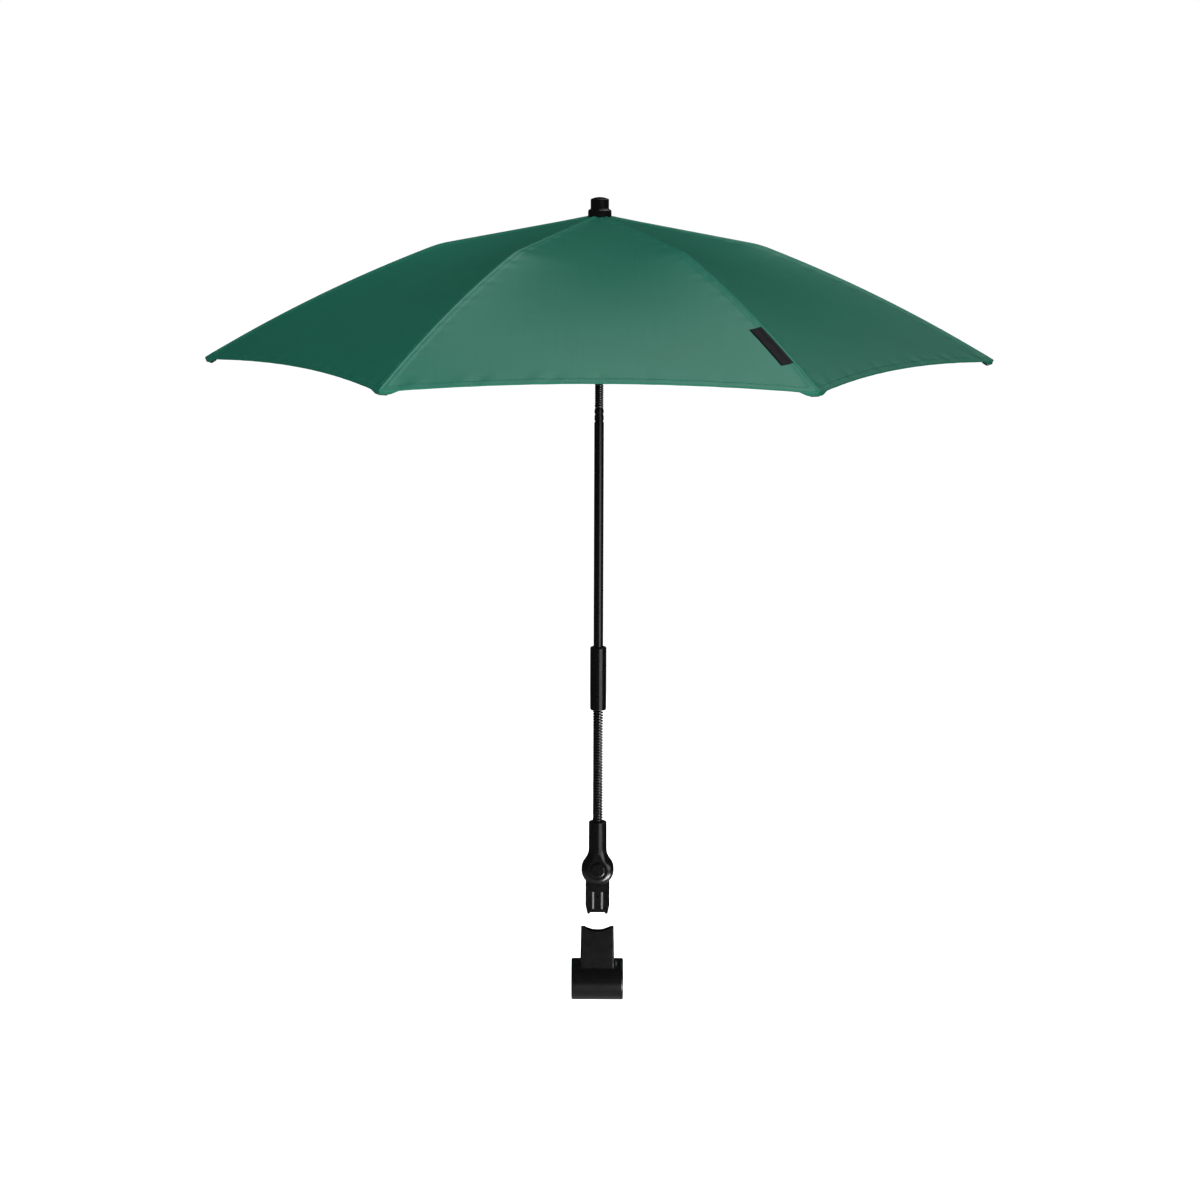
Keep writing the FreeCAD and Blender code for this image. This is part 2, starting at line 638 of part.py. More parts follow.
def make_head():
    shape, shoulder = head_plate()
    plate = solid("head_plate", shape)
    plate = rounded("head_plate_round", plate, s.boss_round,
                    lambda edge: isinstance(edge.Curve, Part.Circle)
                    and edge.BoundBox.YLength < float(s.run_gap))
    stem = doc.addObject("Part::Cone", "stem")
    bind(stem, "Radius1", s.stem_radius + s.stem_spread)
    bind(stem, "Radius2", s.stem_radius)
    bind(stem, "Height", s.head_reach - slot_radius)
    place(stem, (0, 0, slot_radius))
    stem = rounded("stem_round_top", stem, s.stem_round,
                   lambda edge: is_rim(edge, s.stem_radius, s.head_reach))
    reach = s.boss_radius + s.overrun
    slot = cylinder("slot", slot_radius, slot_half * 2, (0, -slot_half, 0), "Y")
    swing = box("swing", (reach * 2, slot_half * 2, reach + s.plug_half + s.fit_gap),
                (-reach, -slot_half, -reach))
    pocket = solid("cheek_pocket", toothed_prism(float(s.gear_radius + s.fit_gap), float(s.tooth_depth),
                                                 float(-gear_front - s.fit_gap), 0.0))
    button_hole = cylinder("button_bore", s.button_radius + s.run_gap, boss_half + s.overrun,
                           (0, -boss_half - s.overrun, 0), "Y")
    pin_bore = cylinder("pin_bore", s.pin_radius + s.run_gap, boss_half + s.overrun, (0, 0, 0), "Y")
    pin_sink = cylinder("pin_sink", s.pin_head_radius + s.fit_gap, s.pin_head + s.fit_gap + s.overrun,
                        (0, boss_half - s.pin_head - s.fit_gap, 0), "Y")
    socket_depth = s.goose_seat + s.stub_length
    goose = cylinder("goose_bore", goose_bore, socket_depth + s.overrun,
                     (0, 0, s.head_reach - socket_depth), "Z")
    screw_level = s.head_reach - s.goose_seat - s.stub_length / 2
    screw_hole = cylinder("screw_hole", s.grub_radius, s.stem_radius + s.overrun, (0, 0, screw_level), "Y")
    head = cut("swivel_head", fuse("head_blank", plate, stem), slot, swing, pocket, button_hole, pin_bore,
               pin_sink, goose, screw_hole)
    node(on_pole(head, boss_level), "swivel_head")
    screw = grub("neck_screw", goose_bore, s.stem_radius, boss_level + screw_level)
    node(screw, "neck_screw")


# Gooseneck: a wound wire over a soft core, with a steel stub at each end
def make_gooseneck():
    stub_low = head_top - s.goose_seat - s.stub_length
    low = cylinder("gooseneck_end_lower", goose_bore, s.stub_length)
    node(on_pole(low, stub_low), "gooseneck_end_lower")
    high = cylinder("gooseneck_end_upper", goose_bore, s.stub_length)
    node(on_pole(high, sleeve_level + s.goose_seat), "gooseneck_end_upper")
    core_length = s.goose_length + s.goose_seat * 2
    core = cylinder("gooseneck_core", s.goose_radius - s.goose_wire - s.fit_gap, core_length)
    node(on_pole(core, head_top - s.goose_seat), "gooseneck_core")
    winding = coil("gooseneck_coil", float(s.goose_radius), float(s.goose_wire),
                   float(core_length - s.fit_gap * 2), float(s.goose_pitch))
    foot = V(0, -float(s.pole_offset), float(head_top - s.goose_seat + s.fit_gap))
    node(solid("gooseneck_coil", winding, FreeCAD.Placement(foot, FreeCAD.Rotation())), "gooseneck_coil")


# Sleeve and lower pole
def make_pole():
    socket = s.goose_seat + s.stub_length
    grip_floor = s.sleeve_length - s.sleeve_grip
    sleeve = turned("sleeve_blank", [
        (goose_bore, 0), (s.sleeve_radius, 0), (s.sleeve_radius, s.sleeve_length),
        (s.pole_radius, s.sleeve_length), (s.pole_radius, grip_floor), (0, grip_floor),
        (0, socket), (goose_bore, socket)])
    edge_fillet(sleeve, s.sleeve_round, lambda edge: is_rim(edge, s.sleeve_radius, 0)
                or is_rim(edge, s.sleeve_radius, s.sleeve_length))
    low_screw = s.goose_seat + s.stub_length / 2
    high_screw = s.sleeve_length - s.sleeve_grip / 2
    holes = [cylinder(f"sleeve_hole_{name}", s.grub_radius, s.sleeve_radius + s.overrun, (0, 0, level), "Y")
             for name, level in (("low", low_screw), ("high", high_screw))]
    node(on_pole(cut("grip_sleeve", sleeve, *holes), sleeve_level), "grip_sleeve")
    # The rounded tube face is met by a flat screw end just clear of it
    screws = [grub("sleeve_screw_low", goose_bore, s.sleeve_radius - s.fit_gap, sleeve_level, low_screw),
              grub("sleeve_screw_high", s.pole_radius, s.sleeve_radius - s.fit_gap, sleeve_level, high_screw)]
    node(fuse("sleeve_screws", *screws), "sleeve_screws")
    lower = turned("lower_shaft", [
        (pole_bore, 0), (s.pole_radius, 0), (s.pole_radius, s.sleeve_grip + s.pole_show),
        (pole_bore, s.sleeve_grip + s.pole_show)])
    node(on_pole(lower, sleeve_top - s.sleeve_grip), "lower_shaft")


# Tilt joint: a stiff spring between two beaded ferrules
def ferrule(name):
    """A ferrule with its spring side up; the beads sit between rolled grooves."""
    waist = s.bead_radius - s.groove_depth
    spigot = s.tilt_radius - s.tilt_wire - s.fit_gap
    steps = [s.ferrule_length * share for share in BEAD_SHARES]
    points = [(0, -s.spigot_length), (pole_bore, -s.spigot_length), (pole_bore, 0), (waist, 0)]
    for low, high in (steps[:2], steps[2:]):
        points += [(waist, low), (s.bead_radius, low + s.groove_depth),
                   (s.bead_radius, high - s.groove_depth), (waist, high)]
    points += [(waist, s.ferrule_length), (spigot, s.ferrule_length),
               (spigot, s.ferrule_length + s.spring_spigot), (0, s.ferrule_length + s.spring_spigot)]
    return turned(name, points)


def make_tilt():
    node(on_pole(ferrule("tilt_ferrule_lower"), ferrule_level), "tilt_ferrule_lower")
    upper = ferrule("tilt_ferrule_upper")
    upper.Placement = FreeCAD.Placement(V(), FreeCAD.Rotation(V(1, 0, 0), 180))
    node(on_pole(upper, mast_level), "tilt_ferrule_upper")
    spring = coil("tilt_spring", float(s.tilt_radius), float(s.tilt_wire),
                  float(s.tilt_length - s.fit_gap * 2), float(s.tilt_pitch))
    foot = V(0, -float(s.pole_offset), float(spring_level + s.fit_gap))
    node(solid("tilt_spring", spring, FreeCAD.Placement(foot, FreeCAD.Rotation())), "tilt_spring")


# Upper pole with its crown, cap and catch
def make_mast():
    top = cap_level + s.flange_height + s.cap_rise - s.cap_top_wall
    tube = turned("mast_tube", [(pole_bore, 0), (s.pole_radius, 0), (s.pole_radius, top - mast_level),
                                (pole_bore, top - mast_level)])
    catch_low = runner_level - s.runner_tail - s.fit_gap - s.catch_length - mast_level
    slot = box("catch_slot", (s.catch_thick + s.fit_gap * 2, s.pole_radius + s.overrun,
                              s.catch_length + s.fit_gap * 2),
               (-s.catch_thick / 2 - s.fit_gap, -s.pole_radius - s.overrun, catch_low - s.fit_gap))
    pin_y = s.catch_pin * 2 - s.pole_radius + s.pole_wall
    pin_z = catch_low + s.catch_pin * 2
    pin_hole = cylinder("catch_pin_hole", s.catch_pin, s.pole_radius * 2, (-s.pole_radius, pin_y, pin_z), "X")
    node(on_pole(cut("upper_shaft", tube, slot, pin_hole), mast_level), "upper_shaft")

    pin_half = pole_bore - s.pole_wall / 2
    pin = cylinder("catch_pin", s.catch_pin, pin_half * 2,
                   (-pin_half, pin_y - s.pole_offset, pin_z + mast_level), "X")
    node(pin, "catch_pin")

    # The catch: a plate that leans out of its slot to a step under the runner
    inner = s.catch_depth - s.pole_radius
    plate = new_body("catch_plate")
    pad = plate.newObject("PartDesign::Pad", "catch_pad")
    pad.Profile = outline(plate, "catch_section", "YZ_Plane", [
        (inner, 0), (-s.pole_radius + s.pole_wall / 2, 0),
        (-s.pole_radius - s.catch_stand, s.catch_length * (1 - RAMP_SHARE)),
        (-s.pole_radius - s.catch_stand, s.catch_length), (inner, s.catch_length)])
    pad.Midplane = True
    bind(pad, "Length", s.catch_thick)
    plate.Tip = pad
    eye = cylinder("catch_eye", s.catch_pin + s.run_gap, s.pole_radius * 2,
                   (-s.pole_radius, pin_y, s.catch_pin * 2), "X")
    node(on_pole(cut("runner_catch", plate, eye), catch_low + mast_level), "runner_catch")

    low = s.crown_top - s.crown_height
    crown = turned("crown_blank", [(s.pole_radius, low), (s.runner_radius, low), (s.crown_radius, low / 2),
                                   (s.crown_radius, s.crown_top), (s.pole_radius, s.crown_top)])
    hub = slotted("crown", crown, s.hinge_circle, s.crown_radius, s.crown_height)
    node(on_pole(hub, crown_level), "crown")
    node(on_pole(ring("crown_wire", s.hinge_circle, s.hinge_wire), crown_level), "crown_wire")

    cap_height = s.flange_height + s.cap_rise
    cap = turned("cap_blank", [
        (s.pole_radius, 0), (s.flange_radius, 0), (s.flange_radius, s.flange_height),
        (s.cap_radius, s.flange_height), (s.cap_radius, cap_height), (0, cap_height),
        (0, cap_height - s.cap_top_wall), (s.pole_radius, cap_height - s.cap_top_wall)])
    edge_fillet(cap, s.flange_round, lambda edge: is_rim(edge, s.flange_radius, s.flange_height))
    edge_fillet(cap, s.flange_hollow, lambda edge: is_rim(edge, s.cap_radius, s.flange_height))
    dome = doc.addObject("Part::Sphere", "cap_dome")
    bind(dome, "Radius", s.cap_dome)
    place(dome, (0, 0, cap_height - s.cap_dome))
    domed = doc.addObject("Part::Common", "cap_domed")
    domed.Base, domed.Tool = cap, dome
    domed = rounded("cap_rounded", domed, s.cap_round, is_dome_edge)
    node(on_pole(domed, cap_level), "top_cap")


def ring(name, radius, wire):
    """A closed wire ring about Z."""
    obj = doc.addObject("Part::Torus", name)
    bind(obj, "Radius1", radius)
    bind(obj, "Radius2", wire)
    return obj


def slotted(name, blank, circle, outer, height):
    """A hub with a slot for each rib and a groove for the hinge wire."""
    slot_width = s.eye_width + s.fit_gap * 2
    slots = []
    for number in range(RIBS):
        slot = box(f"{name}_slot_{number}", (outer, slot_width, height * 4))
        turn = FreeCAD.Rotation(V(0, 0, 1), 360 / RIBS * number)
        start = circle - s.eye_radius - s.fit_gap * 2
        corner = turn.multVec(V(float(start), -float(slot_width) / 2, -float(height) * 2))
        slot.Placement = FreeCAD.Placement(corner, turn)
        slots.append(slot)
    groove = ring(f"{name}_groove", circle, s.hinge_wire)
    return cut(name, blank, groove, *slots)


# Runner: a tube that slides on the pole, its slotted flange holding the stretchers
def make_runner():
    half = s.runner_flange_height / 2
    blank = turned("runner_blank", [
        (runner_bore, -s.runner_tail), (s.runner_radius, -s.runner_tail), (s.runner_radius, -half),
        (s.runner_flange, -half), (s.runner_flange, half), (s.runner_radius, half),
        (s.runner_radius, s.runner_head), (runner_bore, s.runner_head)])
    hub = slotted("runner", blank, s.runner_circle, s.runner_flange, s.runner_flange_height)
    node(on_pole(hub, runner_level), "runner")
    node(on_pole(ring("runner_wire", s.runner_circle, s.hinge_wire), runner_level), "runner_wire")


# Ribs, in the plane of the rib that runs along +X, with the rib hinge circle at height zero
def rib_path():
    """The rib's axis: a straight stretch, a short bend and a long bow, as points with directions."""
    slope = math.radians(float(s.rib_angle))
    kink, bow = math.radians(float(s.kink_angle)), math.radians(float(s.outer_angle))
    spot = V(float(s.hinge_circle), 0, 0)
    way = V(math.cos(slope), 0, -math.sin(slope))
    pieces = [("line", spot, spot + way * float(s.rib_inner))]
    spot = pieces[0][2]
    for radius, turn in ((float(s.kink_radius), kink), (float(s.rib_outer) / bow, bow)):
        normal = V(-math.sin(slope), 0, -math.cos(slope))
        centre = spot + normal * radius

        def on_arc(angle, centre=centre, radius=radius):
            return centre + V(math.sin(angle), 0, math.cos(angle)) * radius

        pieces.append(("arc", spot, on_arc(slope + turn / 2), on_arc(slope + turn)))
        spot = on_arc(slope + turn)
        slope += turn
    return pieces, spot, slope


def rib_length():
    kink = math.radians(float(s.kink_angle)) * float(s.kink_radius)
    return float(s.rib_inner) + kink + float(s.rib_outer)


def rib_point(along, lift):
    """The point this far along the rib's axis, lifted square to it, as (radius, height)."""
    slope = math.radians(float(s.rib_angle))
    inner = min(along, float(s.rib_inner))
    reach = float(s.hinge_circle) + inner * math.cos(slope)
    height = -inner * math.sin(slope)
    rest = along - inner
    bow = math.radians(float(s.outer_angle))
    for radius, turn in ((float(s.kink_radius), math.radians(float(s.kink_angle))),
                         (float(s.rib_outer) / bow, bow)):
        angle = min(rest / radius, turn)
        reach += radius * (math.sin(slope + angle) - math.sin(slope))
        height += radius * (math.cos(slope + angle) - math.cos(slope))
        rest -= angle * radius
        slope += angle
    reach += rest * math.cos(slope)
    height -= rest * math.sin(slope)
    return reach + lift * math.sin(slope), height + lift * math.cos(slope)


def joint_spot():
    """Where the stretcher hinges on the rib, below the end of the straight stretch."""
    reach, height = rib_point(float(s.rib_inner), -float(s.ear_drop))
    return V(reach, 0, height)


def across(radius, width, spot, hole=0.0):
    """A disc across the rib's plane, centred on a spot, with a hole if one is given."""
    start = spot - V(0, width / 2, 0)
    disc = Part.makeCylinder(radius, width, start, V(0, 1, 0))
    return disc.cut(Part.makeCylinder(hole, width, start, V(0, 1, 0))) if hole else disc


def bar(start, end, thick, width):
    """A flat bar between two spots of the rib's plane."""
    way = (end - start).normalize()
    side = V(-way.z, 0, way.x) * (thick / 2)
    corners = [start + side, end + side, end - side, start - side, start + side]
    corners = [corner - V(0, width / 2, 0) for corner in corners]
    return Part.Face(Part.makePolygon(corners)).extrude(V(0, width, 0))


def rib_shape():
    pieces = rib_path()[0]
    edges = [Part.LineSegment(*piece[1:]).toShape() if piece[0] == "line" else Part.Arc(*piece[1:]).toShape()
             for piece in pieces]
    way = (pieces[0][2] - pieces[0][1]).normalize()
    start = pieces[0][1]
    section = Part.Wire(Part.makeCircle(float(s.rib_radius), start, way))
    rod = Part.Solid(Part.Wire(edges).makePipeShell([section], True, False))
    width = float(s.eye_width)
    eye = across(float(s.eye_radius), width, start)
    room = across(float(s.eye_radius) + float(s.fit_gap), width + 2 * float(s.rib_radius), start)
    ear = across(float(s.ear_radius), float(s.ear_width), joint_spot())
    foot = pieces[0][2]
    ear = ear.fuse(bar(joint_spot(), foot, 2 * float(s.ear_radius), float(s.ear_width)))
    rib = rod.cut(room).fuse([eye, bar(start, start + way * 3 * float(s.eye_radius), float(s.eye_width),
                                       width), ear])
    holes = [across(float(s.hinge_wire) + float(s.eye_gap), width * 2, start),
             across(float(s.rivet_radius), width * 2, joint_spot())]
    return rib.cut(holes).removeSplitter()


def rivet_shape():
    """The rivet through ear and fork, with a head on each side."""
    spot = joint_spot()
    grip = float(s.ear_width) + 2 * (float(s.fork_cheek) + 2 * float(s.fit_gap))
    head = float(s.rivet_head)
    shank = across(float(s.rivet_radius), grip + 2 * head, spot)
    head_radius = float(s.ear_radius) - float(s.fit_gap) * 2
    heads = [across(head_radius, head, spot + V(0, side * (grip + head) / 2, 0)) for side in (-1, 1)]
    return shank.fuse(heads).removeSplitter()


def tip_shape():
    """The rounded cap under the canopy's corner, filled but for the rib's end."""
    end, slope = rib_path()[1:]
    down = V(-math.sin(slope), 0, -math.cos(slope))
    length, width, height = float(s.tip_length), float(s.tip_width), float(s.tip_height)
    block = Part.makeBox(length, width, height, V(-float(s.tip_cover), -width / 2, -height / 2))
    block = block.makeFillet(float(s.tip_round), block.Edges)
    tilt = FreeCAD.Rotation(V(0, 1, 0), math.degrees(slope))
    block.Placement = FreeCAD.Placement(end + down * float(s.tip_drop), tilt)
    return block.cut(rib_shape())


def stretcher_shape():
    """A stretcher from the rib's joint to just short of the runner's wire."""
    joint = joint_spot()
    hinge = V(float(s.runner_circle), 0, -float(s.runner_drop))
    way = (hinge - joint).normalize()
    inner = float(s.ear_width) + 2 * float(s.fit_gap)
    outer = inner + 2 * float(s.fork_cheek)
    radius = float(s.ear_radius)
    fork_end = joint + way * float(s.fork_length)
    fork = across(radius, outer, joint).fuse(bar(joint, fork_end, 2 * radius, outer))
    room = across(radius + float(s.fit_gap) * 3, inner, joint)
    end = hinge - way * (float(s.hinge_wire) + float(s.fit_gap))
    tongue_start = end - way * float(s.tongue_length)
    rod_start = fork_end - way * radius
    rod = Part.makeCylinder(float(s.stretcher_radius), (tongue_start - rod_start).Length + radius,
                            rod_start, way)
    tongue = bar(tongue_start, end, 2 * float(s.stretcher_radius), float(s.eye_width))
    hole = across(float(s.rivet_radius) + float(s.run_gap), outer * 2, joint)
    return fork.cut([room]).fuse([rod, tongue]).cut([hole]).removeSplitter()


# Canopy: one section on each rib, from the middle of one gore to the middle of the next
def canopy_span():
    """Where the canopy starts and ends along a rib."""
    start = float(s.canopy_eye) - float(s.hinge_circle)
    return start, rib_length() + float(s.canopy_over)


def canopy_stations():
    """Places along a rib where the canopy's patches meet, closest where the rib bends."""
    start, whole = canopy_span()
    inner = float(s.rib_inner)
    bend = inner + math.radians(float(s.kink_angle)) * float(s.kink_radius)
    stretches = ((start, inner, STRAIGHT_SHARES), (inner, bend, KINK_SHARES), (bend, whole, BOW_SHARES))
    return [low + (high - low) * share for low, high, shares in stretches for share in shares]


def canopy_spot(along, across_share, side, lift):
    """A point of the canopy: across from the rib (0) to the middle of the gore (1)."""
    inset = dict(zip(ACROSS_SHARES, SCALLOP_SHARES))[across_share]
    sag = dict(zip(ACROSS_SHARES, SAG_SHARES))[across_share]
    start, whole = canopy_span()
    share = (along - start) / (whole - start)
    along = along - share * inset * float(s.scallop)
    reach, height = rib_point(along, lift)
    half = math.pi / RIBS
    chord = reach * math.sin(half) * across_share
    toward = V(reach * (1 - across_share * math.sin(half) ** 2), side * chord * math.cos(half), height)
    drop = float(s.gore_sag) * sag * 4 * share * (1 - share)
    keep = V(-math.sin(half), side * math.cos(half), 0)
    return toward - V(0, 0, drop) - keep * (float(s.seam_gap) / 2 * across_share)


def shell_solid(grid, thick):
    """A closed shell of ruled patches through a grid of points, thickened upwards."""
    rows, last = len(grid), len(grid[0]) - 1
    rise = V(0, 0, thick)
    faces = []

    def patch(a, b, c, d):
        faces.append(Part.makeRuledSurface(Part.makeLine(a, b), Part.makeLine(d, c)))

    for row in range(rows - 1):
        for col in range(last):
            corners = (grid[row][col], grid[row][col + 1], grid[row + 1][col + 1], grid[row + 1][col])
            patch(*corners)
            patch(*(corner + rise for corner in corners))
        for col in (0, last):
            low, high = grid[row][col], grid[row + 1][col]
            patch(low, high, high + rise, low + rise)
    for row in (0, rows - 1):
        for col in range(last):
            low, high = grid[row][col], grid[row][col + 1]
            patch(low, high, high + rise, low + rise)
    shell = Part.makeShell(faces)
    shell.sewShape()
    shape = Part.Solid(Part.Shell(shell.Faces))
    if shape.Volume < 0:
        shape.reverse()
    return shape


def canopy_shape():
    """The canopy's section over one rib."""
    columns = [(share, -1) for share in reversed(ACROSS_SHARES[1:])] + [(share, 1) for share in ACROSS_SHARES]
    grid = [[canopy_spot(station, share, side, float(fabric_level)) for share, side in columns]
            for station in canopy_stations()]
    return shell_solid(grid, float(s.fabric))


def label_shape():
    """A thin strip on the canopy beside its rib, bent with it, on the side of the rib before."""
    lift = float(fabric_level) + float(s.fabric) + float(s.fit_gap)
    step = float(s.label_length) / 2
    top = canopy_span()[1] - float(s.label_rise) - float(s.label_length)
    near, far = float(s.label_inset), float(s.label_inset) + float(s.label_width)
    grid = []
    for count in range(3):
        along = top + step * count
        seam, before, after = (canopy_spot(along + step * way, 0.0, -1, lift) for way in (0, -1, 1))
        down = (after - before).normalize()
        aside = canopy_spot(along, 0.5, -1, lift) - seam
        aside = (aside - down * aside.dot(down)).normalize()
        grid.append([seam + aside * near, seam + aside * far])
    return shell_solid(grid, float(s.label_thick))


def make_canopy():
    spot = V(0, -float(s.pole_offset), float(crown_level))
    shapes = {
        "rib": rib_shape(),
        "rib_rivet": rivet_shape(),
        "rib_tip": tip_shape(),
        "stretcher": stretcher_shape(),
        "canopy": canopy_shape(),
    }
    for number in range(1, RIBS + 1):
        turn = FreeCAD.Rotation(V(0, 0, 1), 360 / RIBS * (number - 1))
        spoke = FreeCAD.Placement(spot, turn)
        for name, shape in shapes.items():
            node(solid(f"{name}_{number}", shape.copy(), spoke), f"{name}_{number}")
        if number == LABEL_RIB:
            node(solid("canopy_label", label_shape(), spoke), "canopy_label")


make_clip()
make_plug()
make_lock()
make_head()
make_gooseneck()
make_pole()
make_tilt()
make_mast()
make_runner()
make_canopy()
doc.recompute()

# Nothing is written unless every object is sound
for obj in doc.Objects:
    if "Invalid" in obj.State or "Error" in obj.State:
        raise RuntimeError(f"{obj.Label} failed to build: {obj.State}")
for obj in nodes:
    shape = obj.Shape
    if shape.isNull() or not shape.isValid() or not shape.Solids:
        raise RuntimeError(f"{obj.Label} has no sound shape")
os.makedirs("parts", exist_ok=True)
for obj in nodes:
    obj.Shape.exportStep(os.path.join("parts", f"{obj.Label}.step"))
print(f"{len(nodes)} pieces written")
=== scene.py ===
"""Dresses the frame of a folding pram parasol: sewn canopy, label, wound springs and finishes."""
import json
import math

import bpy
import numpy as np
from bpy.props import FloatProperty, FloatVectorProperty, IntProperty, PointerProperty
from mathutils import Matrix, Vector

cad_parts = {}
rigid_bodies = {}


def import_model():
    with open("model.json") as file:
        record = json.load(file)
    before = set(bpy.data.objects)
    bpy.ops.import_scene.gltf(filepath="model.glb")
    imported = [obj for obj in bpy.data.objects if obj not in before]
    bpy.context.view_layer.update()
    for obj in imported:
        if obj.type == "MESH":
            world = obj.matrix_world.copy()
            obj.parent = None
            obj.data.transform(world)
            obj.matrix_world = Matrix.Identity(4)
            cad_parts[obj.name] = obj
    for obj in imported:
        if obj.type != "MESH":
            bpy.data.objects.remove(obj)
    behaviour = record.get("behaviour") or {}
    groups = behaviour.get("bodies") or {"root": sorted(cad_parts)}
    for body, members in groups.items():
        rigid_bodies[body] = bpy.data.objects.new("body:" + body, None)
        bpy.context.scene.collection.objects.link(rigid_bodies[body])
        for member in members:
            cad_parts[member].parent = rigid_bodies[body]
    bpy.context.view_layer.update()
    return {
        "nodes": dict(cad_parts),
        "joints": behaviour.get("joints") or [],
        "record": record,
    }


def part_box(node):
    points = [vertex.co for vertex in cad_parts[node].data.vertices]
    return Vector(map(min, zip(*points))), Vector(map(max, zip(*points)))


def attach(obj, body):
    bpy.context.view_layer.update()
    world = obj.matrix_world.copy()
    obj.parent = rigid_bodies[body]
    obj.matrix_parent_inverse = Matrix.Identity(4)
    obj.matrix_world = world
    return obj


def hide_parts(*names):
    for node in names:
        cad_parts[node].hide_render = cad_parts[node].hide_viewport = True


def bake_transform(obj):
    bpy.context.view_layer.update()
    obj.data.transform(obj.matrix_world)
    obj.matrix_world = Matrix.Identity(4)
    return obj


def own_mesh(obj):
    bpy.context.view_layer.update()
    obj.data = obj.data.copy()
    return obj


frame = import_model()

bl_info = {
    "name": "Pram parasol",
    "version": (1, 0, 0),
    "blender": (4, 5, 0),
    "location": "View3D > Sidebar > Parasol",
    "description": "Sewn canopy, wound springs and finishes of a folding pram parasol",
    "category": "Add Mesh",
}

MM = 0.001
RIBS = 6
LABEL_RIB = 6
SOFT_NAMES = ("cloth_", "stitches_", "woven_label")
WOUND_NAMES = ("gooseneck_wire", "tilt_spring_wire")
JOINTS = {joint["name"]: joint for joint in frame["joints"]}
HINGE = Vector(JOINTS["canopy_fold"]["pos_m"])
MAST = Vector((JOINTS["tilt"]["pos_m"][0], JOINTS["tilt"]["pos_m"][1], 0.0))
BOSS = Vector(JOINTS["swivel"]["pos_m"])

FLOAT, INTEGER, VECTOR = "NodeSocketFloat", "NodeSocketInt", "NodeSocketVector"
COLOUR, GEOMETRY = "NodeSocketColor", "NodeSocketGeometry"

# Columns of the cloth close to a seam, from the seam outwards
SEAM_COLUMNS = np.array((0, 0.5, 1, 1.5, 2, 2.6, 3.3, 4.2, 5.5, 7.5, 10)) * MM
SEAM_COLUMNS_NEED = 12 * MM
# The column at which the cloth beside a seam starts to gather when the canopy folds
FOLD_COLUMN = 9
PANEL_COLUMNS = 30
PANEL_ROWS = 90
RIB_STEPS = 4001
HEM_ROWS = np.array((8, 7, 6.4, 5.8, 5.2, 4, 3, 2, 1, 0.5, 0)) * MM
LIP_SHARES = np.array((0.25, 0.5, 0.75, 1.0))
LIP_OUT_SHARE = 0.35
CHORD_IN = 0.25
CHORD_ACROSS = math.sin(math.radians(60)) / 2
GOLDEN_TURN = 2.399963

# Relief that sewing leaves in the cloth: its heights, its wave lengths and how far it reaches
RIDGE_REACH = 0.9 * MM
BAND_RISE = 0.3 * MM
BAND_EDGE = 0.6 * MM
HEM_BAND = 6.4 * MM
SEAM_WAVES = (2.3 * MM, 3.7 * MM)
SEAM_WAVES_START = 4 * MM
SEAM_WAVES_REACH = 11 * MM
HEM_WAVES = (3.1 * MM, 4.9 * MM)
HEM_WAVES_GAP = 8 * MM
HEM_WAVES_REACH = 7 * MM
GATHER_RISE = 0.45 * MM
GATHER_WAVE = 1.1 * MM
GATHER_REACH = 17 * MM
POCKET_HALF = 13 * MM
POCKET_EDGE = 6 * MM
SMALL_STEP = 0.2 * MM

# Rows of stitches: beside a seam, and above the hem
SEAM_ROWS = (2.6 * MM, 3.9 * MM)
SEAM_ROW_START = 12 * MM
SEAM_ROW_END = 8 * MM
HEM_ROW = 5.2 * MM
SEAM_ROW_POINTS = 260
HEM_ROW_POINTS = 160
STITCH_RISE_SHARE = 0.15

LABEL_COLUMNS = 15
LABEL_ROWS = 57
LABEL_CLEAR = 0.12 * MM
LABEL_EDGE = 1 * MM

# Name of the value that is 1 on the outside of a wound wire and -1 on its inside
CREST = "crest"
# Crest values over which the painted shade between turns gives way to the lighter, shinier crest
CREST_START, CREST_FULL = 0.8, 0.95
# Sides of a wire's and of the core's round section
WIRE_SIDES = 12
CORE_SIDES = 20

# Each lamp's place, width and height in metres
LAMPS = {
    "key": ((0.47, -3.1, 1.27), 2.4, 2.4),
    "fill": ((-2.4, -1.6, 0.8), 1.8, 1.8),
    "top": ((-0.2, 0.5, 2.5), 1.3, 1.3),
    "back": ((-0.4, 3.0, 1.0), 2.2, 2.2),
    "sheen": ((0.8, 0.2, 2.6), 2.0, 2.0),
    "rim": ((1.3, 1.2, 1.8), 1.0, 1.0),
    "side": ((1.26, -1.68, -0.02), 1.6, 0.62),
    "low": ((0.31, -0.3, -0.34), 0.5, 0.4),
    "strip": ((1.4, -1.7, 0.25), 0.5, 0.8),
}
SHINE_LAMPS = ("sheen", "rim", "side", "low", "strip")
LAMP_AIM = Vector((0, MAST.y, 0.45))
LOW_AIM = Vector((0, MAST.y, 0.1))

# Grey and glow of the floor, and how bright the floor and the room are where a surface mirrors them
FLOOR_GREY = (0.82, 0.82, 0.82, 1)
FLOOR_GLOW = 0.95
FLOOR_NEAR, FLOOR_FAR = 0.9, 1.6
FLOOR_NEAR_MIRRORED, FLOOR_FAR_MIRRORED = 0.36, 0.05
ROOM_MIRRORED = 0.03


# Sizes and colours that a user would change

def length_of(name, description, default):
    return FloatProperty(name=name, description=description, default=default, unit="LENGTH")


def angle_of(name, description, degrees):
    return FloatProperty(name=name, description=description, default=math.radians(degrees), subtype="ANGLE")


def value_of(name, description, default):
    return FloatProperty(name=name, description=description, default=default)


